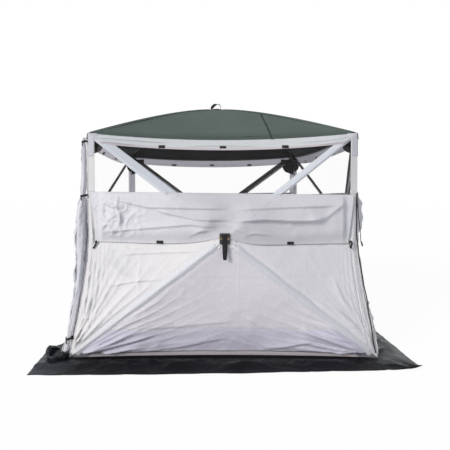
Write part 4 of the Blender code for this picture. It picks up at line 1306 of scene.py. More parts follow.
def build_strap(face):
    """The webbing tail: folded over at its top, cut to a blunt point at its end."""
    hinge = HUB + Vector((0, -STRAP_STAND, STRAP_TOP))
    s = np.linspace(0, STRAP_DROP, 61)[:, None]
    half = STRAP_HALF[0] + (STRAP_HALF[1] - STRAP_HALF[0]) * ramp(s - 0.10, 0.08)
    half = half - 0.007 * np.clip((s - STRAP_DROP + 0.008) / 0.008, 0, 1)
    x = half * np.linspace(-1, 1, 17)[None, :]
    fold = 0.0035 * bell(s - 0.006, 0.008) + 0.0014 * bell(s - 0.040, 0.004)
    hang = 0.0020 * np.sin(np.clip(s / STRAP_DROP, 0, 1) * 3.0) - 0.001 * (x / 0.019) ** 2
    y = hinge.y - 0.0004 - fold - np.abs(hang) * 0.6
    sew(face + "_strap", grid_mesh("strap", stacked(hinge.x + x, y, hinge.z - s), flip=True), "webbing",
        face, body=face + "_strap_body", slot="webbing", thick=STRAP_THICK, bevel=0.0006,
        replaces=face + "_pull_strap", sheet=((0.038, STRAP_DROP), "hung", [face + "_hub_plate"]))


# Stitches, made along seams by geometry nodes

def make_stitch_tree():
    """Nodes that lay one short stitch of thread after another along a line."""
    tree = bpy.data.node_groups.new("row of stitches", "GeometryNodeTree")
    outside = tree.interface
    outside.new_socket("Seam", in_out="INPUT", socket_type="NodeSocketGeometry")
    for name, value in (("Pitch", 0.007), ("Stitch Length", 0.005), ("Thread Radius", 0.0006)):
        outside.new_socket(name, in_out="INPUT", socket_type="NodeSocketFloat").default_value = value
    thread = outside.new_socket("Thread", in_out="INPUT", socket_type="NodeSocketMaterial")
    outside.new_socket("Stitches", in_out="OUTPUT", socket_type="NodeSocketGeometry")
    given, result = tree.nodes.new("NodeGroupInput"), tree.nodes.new("NodeGroupOutput")
    seam, points, bead, place, real, finish = (tree.nodes.new("GeometryNode" + kind) for kind in (
        "MeshToCurve", "CurveToPoints", "MeshIcoSphere", "InstanceOnPoints", "RealizeInstances",
        "SetMaterial"))
    half, size = tree.nodes.new("ShaderNodeMath"), tree.nodes.new("ShaderNodeCombineXYZ")
    points.mode = "LENGTH"
    bead.inputs["Radius"].default_value = 1.0
    bead.inputs["Subdivisions"].default_value = 1
    half.operation = "MULTIPLY"
    half.inputs[1].default_value = 0.5
    for source, output, target, socket in (
        (given, "Seam", seam, "Mesh"), (seam, "Curve", points, "Curve"),
        (given, "Pitch", points, "Length"), (points, "Points", place, "Points"),
        (bead, "Mesh", place, "Instance"), (points, "Rotation", place, "Rotation"),
        (given, "Thread Radius", size, "X"), (given, "Thread Radius", size, "Y"),
        (given, "Stitch Length", half, 0), (half, 0, size, "Z"),
        (size, "Vector", place, "Scale"), (place, "Instances", real, "Geometry"),
        (real, "Geometry", finish, "Geometry"), (given, "Thread", finish, "Material"),
        (finish, "Geometry", result, "Stitches"),
    ):
        tree.links.new(source.outputs[output], target.inputs[socket])
    return tree, thread.identifier


def stitches(name, lines, thread, face, sector, share=None):
    """Rows of stitches along lines of points, as one plain mesh."""
    tree, thread_socket = STITCHES
    points, edges = [], []
    for line in lines:
        first = len(points)
        points += np.asarray(line).tolist()
        edges += [(first + i, first + i + 1) for i in range(len(line) - 1)]
    seam = bpy.data.meshes.new("seam")
    seam.from_pydata(points, edges, [])
    guide = placed("seam", seam)
    row = guide.modifiers.new("stitches", "NODES")
    row.node_group = tree
    row[thread_socket] = PAINT[thread]
    depsgraph = bpy.context.evaluated_depsgraph_get()
    mesh = bpy.data.meshes.new_from_object(guide.evaluated_get(depsgraph))
    bpy.data.objects.remove(guide)
    bpy.data.meshes.remove(seam)
    mesh.shade_smooth()
    follow_hub(piece(name, mesh, face), face, sector, share)


SEAM_Z = 0.236


def build_stitches(face):
    """Rows of stitches on the sleeves, on the edge strips and along the low seam."""
    for sector in SECTORS:
        lines = []
        for end in (0, 1):
            wide = sleeve_width(sector, end)
            lines += [sleeve_line(sector, end, d) for d in (wide - SLEEVE_HEM, min(0.016, 0.4 * wide))]
        if sector == "bottom":
            reach = 0.97 * (HUB.z - SEAM_Z) / (HUB.z - HEM_Z) * BASE_HALF - 0.04
            x = np.linspace(-reach, reach, max(2, int(2 * reach / 0.006)))
            for z in (SEAM_Z - 0.004, SEAM_Z + 0.004):
                z = np.full(x.shape, z)
                lines.append(on_wall(x, z, panel_folds(face, x, z) + 0.0006))
        stitches(f"{face}_stitches_{sector}", lines, "thread", face, sector)
        share = EDGE_SHARE[sector]
        edges = []
        for v in STRIP_SEAMS:
            line = HUB_AT + (1 - share * (1 - v)) * (border(sector, np.linspace(0.01, 0.99, 121)) - HUB_AT)
            edges.append(line + (EDGE_LIFT[sector] * float(strip_shape(np.array(v))) + 0.0005) * OUT_WAY)
        stitches(f"{face}_edge_stitches_{sector}", edges, "thread", face, sector, share)


# Roof

def roof_edge_reach(a):
    """How far out the eave lies, for a from -1 at its left end to 1."""
    return EAVE_HALF - EAVE_PULL * middle(a)


def roof_height(x, y):
    """Height of the plain roof cloth at a point in its front quarter."""
    a = np.zeros(np.broadcast(x, y).shape)
    for _ in range(8):
        a = np.clip(x / np.maximum(np.abs(y), 1e-9) * roof_edge_reach(a) / EAVE_HALF, -1, 1)
    part = np.abs(y) / roof_edge_reach(a)
    rise = ROOF_RISE * (1 - np.clip(part, 0, 1) ** ROOF_POWER)
    return EAVE_Z - EAVE_SAG * middle(a) * part ** 2 + rise


def roof_folds(x, y, seed):
    """How far the roof cloth stands off its plain height between the ridges."""
    reach = np.maximum(np.abs(x), np.abs(y))
    lift = 0.010 * (soft_noise(x, y, 0.33, seed) - 0.5) + 0.005 * (ridges(x, y, 0.20, seed + 4) - 0.5)
    ridge = bell(np.abs(np.abs(x) - np.abs(y)), 0.05)
    sag = -0.010 * (1 - ridge) * np.sin(np.pi * np.clip(reach / EAVE_HALF, 0, 1))
    ends = ramp(reach - 0.06, 0.10) * ramp(EAVE_HALF - 0.03 - reach, 0.10)
    return (lift * (1 - 0.8 * ridge) + sag) * ends


ROOF_RIDGE_HALF = 0.030
ROOF_RIDGE_LIFT = 0.0008
ROOF_SEAM_X = 0.405
ROOF_LIP = 0.010
ROOF_POLES = ["roof_pole_" + corner for corner in CORNERS]
# A distance square to a ridge, as it measures along x
ALONG_X = 1.4142


def sew_roof(name, face, grid, flat, cloth="roof", inside="roof_inside", **rest):
    """Finish one part of the roof, made on its front side."""
    mesh = grid if isinstance(grid, bpy.types.Mesh) else grid_mesh("roof", grid, flip=True)
    sew(name, mesh, cloth, face, sector="roof", slot="cloth_green", inside=inside,
        sheet=(flat, "stretched", ROOF_POLES), **rest)


def build_roof():
    """The roof's four quarters with their turned hems, ridge tapes, seam and pole pockets."""
    for face in FACES:
        fine = finer(face, 90, 60)
        grid = roof_grid(ROOF_HOLE_R, 1 - ROOF_HEM_SHARE, fine, fine)
        area = sewn_area(grid_mesh("roof", grid, flip=True))
        grid[..., 2] += roof_folds(grid[..., 0], grid[..., 1], seed_of(face, 900, 20))
        sew_roof("roof_" + face, face, grid, ROOF_FLAT["quarter"], replaces="roof_canopy", area=area)
        grid = roof_grid(0, 1.0, fine, 6, first_share=1 - ROOF_HEM_SHARE)
        turned = [grid[-1:] + np.array([0, -0.0035, -drop]) for drop in (0.002, ROOF_LIP)]
        sew_roof("roof_hem_" + face, face, np.concatenate([grid, *turned]), ROOF_FLAT["hem"],
                 share=ROOF_HEM_SHARE, replaces="roof_canopy")
        build_roof_ridges(face)
    build_roof_seam()
    for corner in CORNERS:
        part = np.linspace(*ROOF_POCKET, 70)
        z = EAVE_Z + ROOF_RISE * (1 - part ** ROOF_POWER) - POLE_INSET
        build_pocket("roof_pole_" + corner, corner, stacked(EAVE_HALF * part, -EAVE_HALF * part, z),
                     ROOF_POCKET_RUN, 2.0, "roof_inside", "cloth_green")


def beside_ridge(sign, part, d):
    """The x and y of points at a distance d to one side of a roof pole."""
    return sign * (EAVE_HALF * part - d * ALONG_X), -EAVE_HALF * part + 0 * d


def ridge_swell(d):
    """How far a pole underneath pushes the roof cloth up at a distance from its ridge."""
    return 0.0016 * bell(d, 0.012)


def ridge_strip(sign):
    """Half of the doubled cloth over a roof pole, on one side of the ridge."""
    d = np.linspace(0, ROOF_RIDGE_HALF, 9)[None, :]
    x, y = beside_ridge(sign, np.linspace(0.075, 0.985, 61)[:, None], d)
    x = np.where(sign * x < 0, 0, x)
    turned_in = ramp(d - ROOF_RIDGE_HALF + 0.006, 0.006)
    z = roof_height(x, y) + ROOF_RIDGE_LIFT * (1 - turned_in) + ridge_swell(d)
    grid = stacked(x, y, z + 0.0006)
    return grid_mesh("ridge", grid[:, ::-1] if sign > 0 else grid, flip=True)


def build_roof_ridges(face):
    """Doubled cloth over the poles on both sides of a quarter, and the roof's stitches."""
    halves = [ridge_strip(sign) for _, sign in SIDES]
    area = sum(sewn_area(mesh) for mesh in halves)
    sew_roof("roof_ridges_" + face, face, joined("ridges", halves), ROOF_FLAT["ridge"], area=area)
    rows = []
    part = np.linspace(0.10, 0.97, 90)
    for _, sign in SIDES:
        for d in (0.010, ROOF_RIDGE_HALF - 0.006):
            x, y = beside_ridge(sign, part, d)
            rows.append(stacked(x, y, roof_height(x, y) + ridge_swell(d) + 0.0018))
    edge = eave_edge(np.linspace(-0.99, 0.99, 140))
    for share in (0.972, 0.990):
        x, y = edge[:, 0] * share, edge[:, 1] * share
        rows.append(stacked(x, y, roof_height(x, y) + 0.0006))
    stitches("roof_stitches_" + face, rows, "dark_thread", face, "roof")


def build_roof_seam():
    """A felled seam that runs from front to back over the right half of the roof.

    Its middle part lies in the right quarter, and each part is made on the front side.
    """
    d = np.linspace(-0.008, 0.008, 5)
    near = np.linspace(-1.06, -ROOF_SEAM_X, 60)[::-1, None]
    over = np.linspace(-ROOF_SEAM_X, ROOF_SEAM_X, 60)[None, :]
    parts = {
        "front": (ROOF_SEAM_X + d[None], near, d[None]), "back": (-ROOF_SEAM_X + d[None], near, d[None]),
        "right": (over, -ROOF_SEAM_X - d[:, None], d[:, None]),
    }
    for face, (x, y, off) in parts.items():
        x, y = np.broadcast_arrays(x, y)
        rise = 0.0016 * (1 - (off / 0.009) ** 4) + 0.0005
        z = roof_height(x, y) + roof_folds(x, y, seed_of(face, 900, 20)) + rise
        # The seam takes the darker seam cloth: partly its thread, partly painted shade along it.
        sew_roof("roof_seam_" + face, face, stacked(x, y, z), ROOF_FLAT["seam"], "roof_seam", None)


LOOP_HALF = 0.048
LOOP_HEIGHT = 0.060
LOOP_WIDTH = 0.030


def build_roof_loop():
    """The webbing loop on the roof plate; it leans over to the right."""
    t = np.linspace(0, 1, 49)
    a = math.pi * (1 - t)
    x = LOOP_HALF * np.cos(a) + 0.010 * np.sin(a) ** 2
    z = np.minimum(LOOP_HEIGHT * np.sin(a) ** 0.8 * (1 - 0.10 * np.cos(a + math.pi)), LOOP_HEIGHT)
    across = np.linspace(-LOOP_WIDTH / 2, LOOP_WIDTH / 2, 11)[None, :]
    turned = (np.radians(80 * ramp(0.62 - t, 0.35)) * ramp(t, 0.10))[:, None]
    way = np.stack([np.gradient(x), np.gradient(z)], axis=-1)
    way = way / np.linalg.norm(way, axis=1)[:, None]
    side = np.sin(turned) * across
    height = np.clip(z[:, None] + side * way[:, :1], 0.0, LOOP_HEIGHT + 0.004)
    grid = stacked(x[:, None] - side * way[:, 1:], 0.004 * np.sin(2 * a)[:, None] + np.cos(turned) * across,
                   EAVE_Z + ROOF_RISE + height)
    sew("roof_loop", grid_mesh("loop", grid), "webbing", body="roof_hub_body", slot="webbing",
        thick=STRAP_THICK, replaces="roof_pull_loop",
        sheet=((LOOP_WIDTH, LOOP_LENGTH), "hung", ["roof_hub_plate"]))


# Ground skirt

SKIRT_TIPS = ((1.436, -1.412), (1.450, 1.440), (-1.440, 1.450), (-1.402, -1.512))
SKIRT_LIP_TOP = 0.0085


def sew_ground(name, mesh, cloth, flat, held, joint, face=None, **rest):
    """Finish one part of the ground skirt."""
    sew(name, mesh, cloth, face, body="tent_body", slot="cloth_black", thick=TAPE_THICK,
        sheet=(flat, held, ["base_corner_joint_" + joint]), **rest)


def skirt_rise(x, y):
    """Wrinkles of the loose skirt on the ground: ridges that run across it, and small dents."""
    out = np.clip((np.maximum(np.abs(x), np.abs(y)) - SKIRT_INNER) / (SKIRT_HALF - SKIRT_INNER), 0, 1)
    along = np.where(np.abs(x) > np.abs(y), y, x)
    wave = ridges(along, out * 0.25 + along * 0.1, 0.15, 1201) ** 2
    slant = ridges(x * 0.45 + y * 0.8, y - x * 0.3, 0.11, 1221) ** 3
    small = ridges(x, y, 0.07, 1211)
    rise = 0.018 * wave + 0.016 * slant + 0.006 * small
    # the front left tip has no wrinkle of its own: the curl is there
    tips = sum(bell(np.hypot(x - tx, y - ty), 0.05) for tx, ty in SKIRT_TIPS[:3])
    near = ramp(out - 0.26, 0.28) * (1 - 0.85 * ramp(out - 0.62, 0.38))
    return 0.0022 + rise * near + 0.022 * tips


SKIRT_CURL = (
    # x, y, height, lean outwards
    (-1.310, -1.060, 0.020, 0.020), (-1.350, -1.110, 0.070, 0.014), (-1.362, -1.180, 0.074, 0.010),
    (-1.335, -1.245, 0.052, 0.030), (-1.290, -1.270, 0.038, 0.034), (-1.250, -1.255, 0.050, 0.022),
    (-1.225, -1.225, 0.060, 0.010), (-1.212, -1.180, 0.020, 0.008),
)


def build_skirt_curl():
    """The skirt's edge by the front left corner, pushed up into a curl as it was laid out."""
    knots = np.array(SKIRT_CURL)
    t = np.linspace(0, len(knots) - 1, 110)
    bend = softened(np.stack([np.interp(t, np.arange(len(knots)), knot) for knot in knots.T], axis=-1), 10)
    way = np.gradient(bend[:, :2], axis=0)
    way = way / np.linalg.norm(way, axis=1)[:, None]
    side = np.stack([-way[:, 1], way[:, 0]], axis=-1)
    outward = np.sign(np.sum(side * (bend[:, :2] - (-1.29, -1.16)), axis=1))[:, None] * side
    v = np.linspace(0, 1, 22)[None, :]
    s = t[:, None]
    crumple = 0.010 * (ridges(s * 0.10, v * 0.12, 0.05, 1801) - 0.5) * np.sin(np.pi * v * 0.8)
    rolled_over = 0.022 * ramp(v - 0.82, 0.18)
    lean = bend[:, 3:] * v ** 1.5 + 0.012 * np.sin(np.pi * v) + crumple - rolled_over
    px, py = (bend[:, k:k + 1] + outward[:, k:k + 1] * lean for k in (0, 1))
    height = bend[:, 2:3] * np.sin(np.clip(v, 0, 0.92) * np.pi / 1.84) ** 0.9
    height = height * (1 - 0.25 * ramp(v - 0.85, 0.15)) + 0.006 * np.sin(s * 5) * v
    mesh = grid_mesh("curl", stacked(px, py, 0.004 + np.maximum(height, 0.0)))
    # The curl takes a paler copy of the skirt cloth, painted highlight.
    sew_ground("skirt_curl", mesh, "skirt_painted_highlight", SKIRT_FLAT["curl"], "laid", "front_left")


def softened(rows, times):
    """Rows of numbers, each but the ends drawn towards its neighbours a number of times."""
    for _ in range(times):
        rows[1:-1] = (rows[:-2] + 2 * rows[1:-1] + rows[2:]) / 4
    return rows


def build_skirt():
    """The skirt on the ground, its edge bowed in a little between its tips."""
    sides = []
    t = np.linspace(0, 1, 221)
    out = np.linspace(0, 1, 23)[:, None, None]
    for k, face in enumerate(FACES):
        turn = np.array(quarter(face).to_3x3())
        start, stop = (np.array([*SKIRT_TIPS[tip], 0.0]) @ turn for tip in (k - 1, k))
        outer = start[None] + (stop - start)[None] * t[:, None]
        bow = 0.018 * np.sin(np.pi * t) + 0.006 * (soft_noise(t * 2, t * 0, 0.11, 1300 + k) - 0.5)
        outer[:, 1] -= bow * ramp(t, 0.05) * ramp(1 - t, 0.05)
        if face == "left":
            outer[:, 1] += 0.125 * ramp(t - 0.30, 0.2) * ramp(0.85 - t, 0.09)
        inner = stacked(SKIRT_INNER * (2 * t - 1), -SKIRT_INNER, 0 * t)
        sides.append(grid_mesh("skirt", (inner[None] + (outer - inner)[None] * out) @ turn.T, flip=True))
    mesh = weld(joined("skirt", sides), 1e-4)
    area = sewn_area(mesh)
    reshape_mesh(mesh, lambda p: stacked(p[:, 0], p[:, 1], skirt_rise(p[:, 0], p[:, 1])))
    sew_ground("skirt_cloth", mesh, "skirt", SKIRT_FLAT["cloth"], "laid", "front_right",
               replaces="ground_skirt", area=area)
    build_skirt_curl()
    for face in FACES:
        build_skirt_lip(face)


def build_skirt_lip(face):
    """The upright edge of the skirt, sewn to the wall's hem and turned out on the ground."""
    a = np.linspace(-1, 1, 161)
    profile = ((0.004, SKIRT_LIP_TOP), (0.0055, 0.0075), (0.007, 0.0065), (0.011, 0.0050), (0.030, 0.0046))
    rows = []
    for k, (out, z) in enumerate(profile):
        row = hem_edge(a)
        row[:, 1] -= out + 0.003 * (soft_noise(a * 1.2, a * 0, 0.05, 1400 + k) - 0.5)
        row[:, 0] *= 1 + out / BASE_HALF
        row[:, 2] = z + (0.001 * soft_noise(a * 1.2, a * 0, 0.03, 1500) if k == 4 else 0)
        rows.append(row)
    sew_ground("skirt_lip_" + face, grid_mesh("lip", np.array(rows)), "skirt", SKIRT_FLAT["lip"], "hung",
               "front_right", face)


# Rolled door

ROLL_TOP = 1.730
ROLL_BOTTOM = 0.055
ROLL_OUT = 0.040
ROLL_OUT_MORE = 0.019
ROLL_TIES = {"upper": 1.700, "middle": 1.265, "lower": 0.150}
ROLL_CORE = 0.006
ROLL_BELLY_Z = 0.95
TIE_HALF = 0.008
TAIL_LENGTH = 0.040


def roll_belly(z):
    """How full the roll is at a height, and how much slimmer it is above its belly."""
    return bell(z - ROLL_BELLY_Z, 0.35), 0.009 * ramp(z - 1.12, 0.15)


def roll_radius(z):
    """The roll's outer radius: drawn in at the ties."""
    belly, slimmer = roll_belly(z)
    pinch = np.max([bell(z - tie, 0.05) for tie in ROLL_TIES.values()], axis=0)
    return (0.030 + 0.018 * belly - slimmer) * (1 - 0.35 * pinch)


def roll_center(z):
    """The roll's axis, which stands off the front left corner."""
    belly, slimmer = roll_belly(z)
    half = corner_half(z)
    return stacked(-half - (ROLL_OUT + ROLL_OUT_MORE * belly - slimmer), -half, z)


def build_door_roll():
    """The door's cloth, rolled up from the hub side and tied along the front left corner."""
    z = np.linspace(ROLL_BOTTOM, ROLL_TOP, 151)[:, None]
    q = np.linspace(0, 1, 191)[None, :]
    turns = 1.7 + 3.3 * np.clip(1 - np.abs(z - ROLL_BELLY_Z) / ROLL_BELLY_Z, 0, 1)
    angle = math.radians(-150) - 2 * np.pi * turns * (1 - q) + 0.5 * np.sin(z * 3.1)
    lobe = 1 + 0.09 * np.cos(3 * angle + 4 * z) + 0.06 * np.cos(5 * angle - 9 * z)
    around = angle % (2 * np.pi)
    creased = sum(
        deep * (ridges(around * wide + z * slant, z * tall, 0.05, seed) - 0.75)
        for deep, wide, slant, tall, seed in (
            (0.36, 0.04, 0.0, 0.35, 1701), (0.34, 0.06, 0.3, 0.8, 1703), (0.26, 0.10, -0.6, 1.5, 1705)))
    radius = (ROLL_CORE + (roll_radius(z) - ROLL_CORE) * q ** 0.8) * (lobe + creased * q ** 4)
    radius = radius + 0.0035 * ramp(q - 0.94, 0.06) * np.sin(z * 21)
    grid = roll_center(z[:, 0])[:, None] + round_way(angle) * radius[..., None]
    sew("door_cloth", grid_mesh("roll", grid), "door", body="tent_body", inside="lining",
        replaces="door_roll", sheet=(DOOR_FLAT, "folded", ["door_tie_upper_strap"]))


def round_way(angle):
    return stacked(np.cos(angle), np.sin(angle), 0 * angle)


def build_door_ties():
    """Three ties: each goes round the roll, and back to the corner that it is sewn to."""
    for name, z in ROLL_TIES.items():
        center = roll_center(np.array(z))
        reach = float(roll_radius(np.array(z))) * 1.10 + 0.0022
        half = float(corner_half(z))
        toward = np.array([-half - 0.002, -half, z]) - center
        gap = np.linalg.norm(toward)
        angle = np.linspace(0, 2 * np.pi, 72, endpoint=False)
        ways = round_way(angle)
        lean = ways @ (toward / gap)
        to_corner = np.minimum(gap, reach / np.maximum(np.sqrt(1 - lean ** 2), 0.3))
        loop = center + ways * np.where(lean > 0.80, to_corner, reach)[:, None]
        rows = []
        for dz in np.linspace(-TIE_HALF, TIE_HALF, 7):
            row = loop + ways * 0.0006 * math.cos(dz / TIE_HALF * 1.5)
            row[:, 2] = z + dz + 0.004 * np.sin(angle + 1.0)
            rows.append(np.concatenate([row, row[:1]], axis=0))
        band = facing_out(weld(grid_mesh("tie", np.array(rows)), 1e-6))
        sew(f"door_tie_{name}_strap", joined("tie", [band, tie_tail(center, reach, z)]), "webbing",
            body="tent_body", slot="webbing", thick=0.0018,
            replaces=None if name == "middle" else "door_tie_" + name,
            sheet=(TIE_FLAT, "stretched", ["door_cloth"]))


def tie_tail(center, reach, z):
    """The loose end of a tie, which hangs down in front of the roll."""
    s = np.linspace(0, TAIL_LENGTH, 12)[:, None]
    x = np.linspace(-0.004, 0.004, 6)[None, :]
    angle = math.radians(-105)
    base = center + reach * np.array([math.cos(angle), math.sin(angle), 0])
    out = 0.003 + 0.006 * np.sin(s / TAIL_LENGTH * 2.4)
    px = base[0] + x * math.sin(-angle) + math.cos(angle) * out
    py = base[1] + x * math.cos(angle) * 0.2 + math.sin(angle) * out
    return grid_mesh("tail", stacked(px, py, z - s), flip=True)


# Corner trim

RIGHT_ZIP = ((1.285, -0.004, 0.006), (0.98, -0.002, 0.006), (0.66, 0.012, 0.008), (0.45, 0.018, 0.010),
             (0.24, 0.006, 0.016), (0.12, -0.006, 0.014), (0.045, -0.010, 0.012))
DOOR_EDGE = ((1.285, -0.004, 0.004), (1.10, 0.010, 0.010), (0.98, 0.024, 0.016), (0.90, 0.026, 0.020))


def along_corner(knots, count):
    """Points down the front right corner: height, shift to the right and shift outwards."""
    knots = np.array(knots)
    z = np.linspace(knots[0, 0], knots[-1, 0], count)
    right, out = (softened(np.interp(-z, -knots[:, 0], knots[:, k]), 12) for k in (1, 2))
    half = corner_half(z)
    return stacked(half + right, -half - out, z)


def trim(name, mesh, cloth="webbing", slot="webbing", body="tent_body", face=None, thick=None):
    """Finish a small piece that moves with one body."""
    sew(name, mesh, cloth, face, body=body, slot=slot, thick=thick)


def build_zip_tails():
    """The looped cord and small ring on each pull of the front window cover."""
    for side, _ in SIDES:
        low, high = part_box("zip_pull_" + side)
        x, y, z = (low[0] + high[0]) / 2, low[1] - 0.003, high[2] - 0.012
        s = np.linspace(0, 1, 40)
        lean = -0.016 if side == "left" else 0.010
        path = stacked(x + lean * s + 0.0055 * np.sin(2 * np.pi * s), y - 0.006 * np.sin(np.pi * s),
                       z + 0.012 - 0.060 * np.sin(np.pi * s * 0.5) ** 1.2)
        back = path[::-1] + np.array([0.0075, -0.001, 0.002])
        pull = "zip_pull_" + side
        trim("zip_tail_" + side, tube(np.concatenate([path, back[1:]]), 0.0034, 8), body=pull)
        eye = ring((x + lean, y - 0.004, z - 0.052), (0.2, -1, 0.1), 0.0045, 0.0010)
        trim("zip_ring_" + side, eye, "nickel", "zip_metal", pull)


def build_corner_zips():
    """The black zip down the front right corner, the slack cloth beside it and its pull."""
    path = along_corner(RIGHT_ZIP, 120)
    path[:, 0] += 0.0015 * np.sin(path[:, 2] * 31)
    trim("corner_zip_right", tube(path, 0.0045, 10))
    path = along_corner(DOOR_EDGE, 60)
    trim("door_edge_right", tube(path, 0.0030, 8))
    trim("corner_zip_pull", zip_tab(path[-1]), "zip", "zip_metal", thick=0.002)
    z = np.linspace(0.030, 0.52, 90)[:, None]
    v = np.linspace(0, 1, 9)[None, :]
    half = corner_half(z)
    wide = 0.030 * np.sin(np.pi * np.clip((z - 0.02) / 0.52, 0, 1)) ** 0.6
    x = half + 0.004 + wide * v + 0.004 * np.sin(z * 26) * v
    y = -half + 0.004 + 0.012 * np.sin(np.pi * v) * wide / 0.03
    sew("corner_slack_right", grid_mesh("flap", stacked(x, y, z)), "panel", body="tent_body",
        inside="lining", sheet=(SLACK_FLAT, "hung", ["front_panel_right"]))


def zip_tab(at):
    """A small hanging zip pull with its tail of cord."""
    s = np.linspace(0, TAIL_LENGTH, 12)[:, None]
    x = np.linspace(-0.006, 0.006, 6)[None, :]
    y = at[1] - 0.006 - 0.004 * np.sin(s * 80)
    return grid_mesh("tab", stacked(at[0] + x + 0.25 * s, y, at[2] - s), flip=True)


def build_corner_seams():
    """Bound seams down the corner edges, and the small loops for guy lines at the top."""
    z = np.linspace(0.02, EAVE_Z - 0.004, 120)
    path = stacked(corner_half(z) + 0.0008, -corner_half(z) - 0.0008, z)
    for corner in CORNERS:
        mesh = tube(path, 0.0030, 8, lambda i, a: 0.0003 * np.sin(i * 2.1 + a))
        trim("corner_seam_" + corner, mesh, "strip", "cloth_grey", face=corner)
        trim("guy_loop_" + corner, guy_loop(), face=corner, thick=TAPE_THICK)


# A length along a diagonal, as it measures along x or y
DIAGONAL = 0.7071


def guy_loop():
    """A short folded tape that hangs from an upper corner."""
    s = np.linspace(0, 1, 26)[:, None]
    across = np.linspace(-0.005, 0.005, 6)[None, :] * DIAGONAL
    out = (0.004 + 0.010 * (1 - np.cos(s * 2 * np.pi)) / 2 * (1 - 0.3 * s)) * DIAGONAL
    z = EAVE_Z - 0.006 - 0.042 * np.sin(s * np.pi) ** 0.7 - 0.010 * s
    return grid_mesh("guy", stacked(EAVE_HALF + out + across, -EAVE_HALF - out + across, z), flip=True)


# Finishes

def build_paint():
    dull = {"sheen": 0.0, "gloss": 0.06}
    dark = {"sheen": 0.0, "crinkle": 0.0012, "roughness": 0.8}
    cloths = {
        "panel": woven("white wall cloth", (0.672, 0.655, 0.664), (0.632, 0.622, 0.642), crinkle=0.0016),
        # Painted light: a paler copy of the wall cloth, for the right sectors.
        "panel_right": woven("paler wall cloth, painted light", (0.690, 0.672, 0.695), (0.655, 0.642, 0.668),
                             crinkle=0.0016),
        # Painted shade: a darker, bluer copy of the wall cloth, for the top and bottom sectors, with a lilac
        # tint below the low seam.
        "panel_painted_shade": woven("grey wall cloth, painted shade", (0.650, 0.630, 0.668), (0.615, 0.600, 0.640),
                           crinkle=0.0016, lower=(SEAM_Z, (0.815, 0.812, 0.905), 0.008)),
        "door": woven("rolled door cloth", (0.640, 0.630, 0.665), (0.560, 0.560, 0.610), 0.60, 0.0030),
        # Painted shade: the cover cloth is darkened towards its middle.
        "cover": woven("grey cover cloth, painted shade in the middle", (0.645, 0.635, 0.672), (0.605, 0.598, 0.638), 0.60, 0.0016,
                       center=0.86),
        "sleeve": woven("grey sleeve cloth", (0.560, 0.582, 0.635), (0.525, 0.548, 0.600)),
        "sleeve_low": woven("pale sleeve cloth", (0.615, 0.624, 0.664), (0.588, 0.600, 0.640)),
        "patch": woven("lilac corner cloth", (0.520, 0.525, 0.575), (0.485, 0.490, 0.540)),
        # Painted shade: a dark lining for the insides of the sleeves.
        "sleeve_inside_painted_shade": woven("sleeve lining, painted shade", (0.165, 0.158, 0.170), (0.135, 0.130, 0.142), 0.7),
        "strip": woven("pinkish strip cloth", (0.725, 0.697, 0.720), (0.690, 0.665, 0.690), glow=0.5),
        "band": woven("pale band cloth", (0.585, 0.605, 0.635), (0.550, 0.572, 0.602), glow=0.5),
        "hem_patch": woven("dark hem patch", (0.20, 0.195, 0.215), (0.17, 0.165, 0.185), 0.7),
        # Lilac hem tape; on the band's lowest rows the same darker tape is partly painted shade.
        "tape": woven("lilac hem tape, painted shade on the band", (0.53, 0.485, 0.515), (0.48, 0.44, 0.47), crinkle=0.0005),
        "lining": woven("grey cloth inside", (0.62, 0.60, 0.63), (0.56, 0.545, 0.575), 0.70, 0.0012,
                        glow=1.0),
        "roof": woven("green roof cloth", (0.104, 0.130, 0.117), (0.089, 0.113, 0.102), 0.85, 0.0014,
                      lower=(1.80, (0.80, 0.80, 0.81), 0.05), **dull),
        "roof_inside": woven("charcoal roof lining", (0.030, 0.031, 0.041), (0.023, 0.024, 0.033),
                             gloss=0.1, **dark),
        # The seam's darker colour is partly its thread and partly painted shade along it.
        "roof_seam": woven("roof seam, dark thread and painted shade", (0.045, 0.055, 0.050), (0.035, 0.043, 0.040), 0.8, **dull),
        "pocket": woven("charcoal corner pocket", (0.050, 0.050, 0.054), (0.036, 0.036, 0.040),
                        gloss=0.15, **{**dark, "crinkle": 0.0010}),
        "thread": woven("grey thread", (0.52, 0.51, 0.53), (0.45, 0.44, 0.46), 0.7, 0.0002),
        "dark_thread": woven("dark thread", (0.05, 0.06, 0.055), (0.04, 0.05, 0.045), 0.7, 0.0002),
        "skirt": skirt_cloth("black skirt cloth", (0.0032, 0.0035, 0.0048), (0.0075, 0.0080, 0.0105)),
        # Painted highlight: a paler copy of the skirt cloth, for the raised curl.
        "skirt_painted_highlight": skirt_cloth("paler skirt cloth, painted highlight", (0.026, 0.030, 0.030), (0.070, 0.076, 0.074)),
    }
    return cloths | {
        "netting": netting("insect netting", (0.50, 0.50, 0.44), 0.012),
        "webbing": webbing("black webbing", (0.012, 0.012, 0.014), (0.030, 0.030, 0.032)),
        "rod": rod("black fibreglass rod", (0.018, 0.018, 0.020), (0.045, 0.045, 0.048)),
        "moulded": moulded("black moulded plastic", (0.014, 0.014, 0.016), (0.032, 0.032, 0.034)),
        "brass": metal("aged brass", (0.60, 0.44, 0.20), 0.38),
        "nickel": metal("nickel ring", (0.72, 0.71, 0.69), 0.30),
        "zip": metal("blackened zip metal", (0.05, 0.05, 0.052), 0.42),
    }


def finish_frame_parts():
    """The poles, hubs, plates, corner joints and zip pulls keep their CAD shapes."""
    by_slot = {"fibreglass": "rod", "moulded_black": "moulded", "zip_metal": "zip", "webbing": "webbing"}
    slots = {row["node"]: row["material_slot"] for row in frame["record"]["subparts"]}
    for name, obj in frame["nodes"].items():
        if slots[name] in by_slot:
            for holder in obj.material_slots:
                holder.material = PAINT[by_slot[slots[name]]]


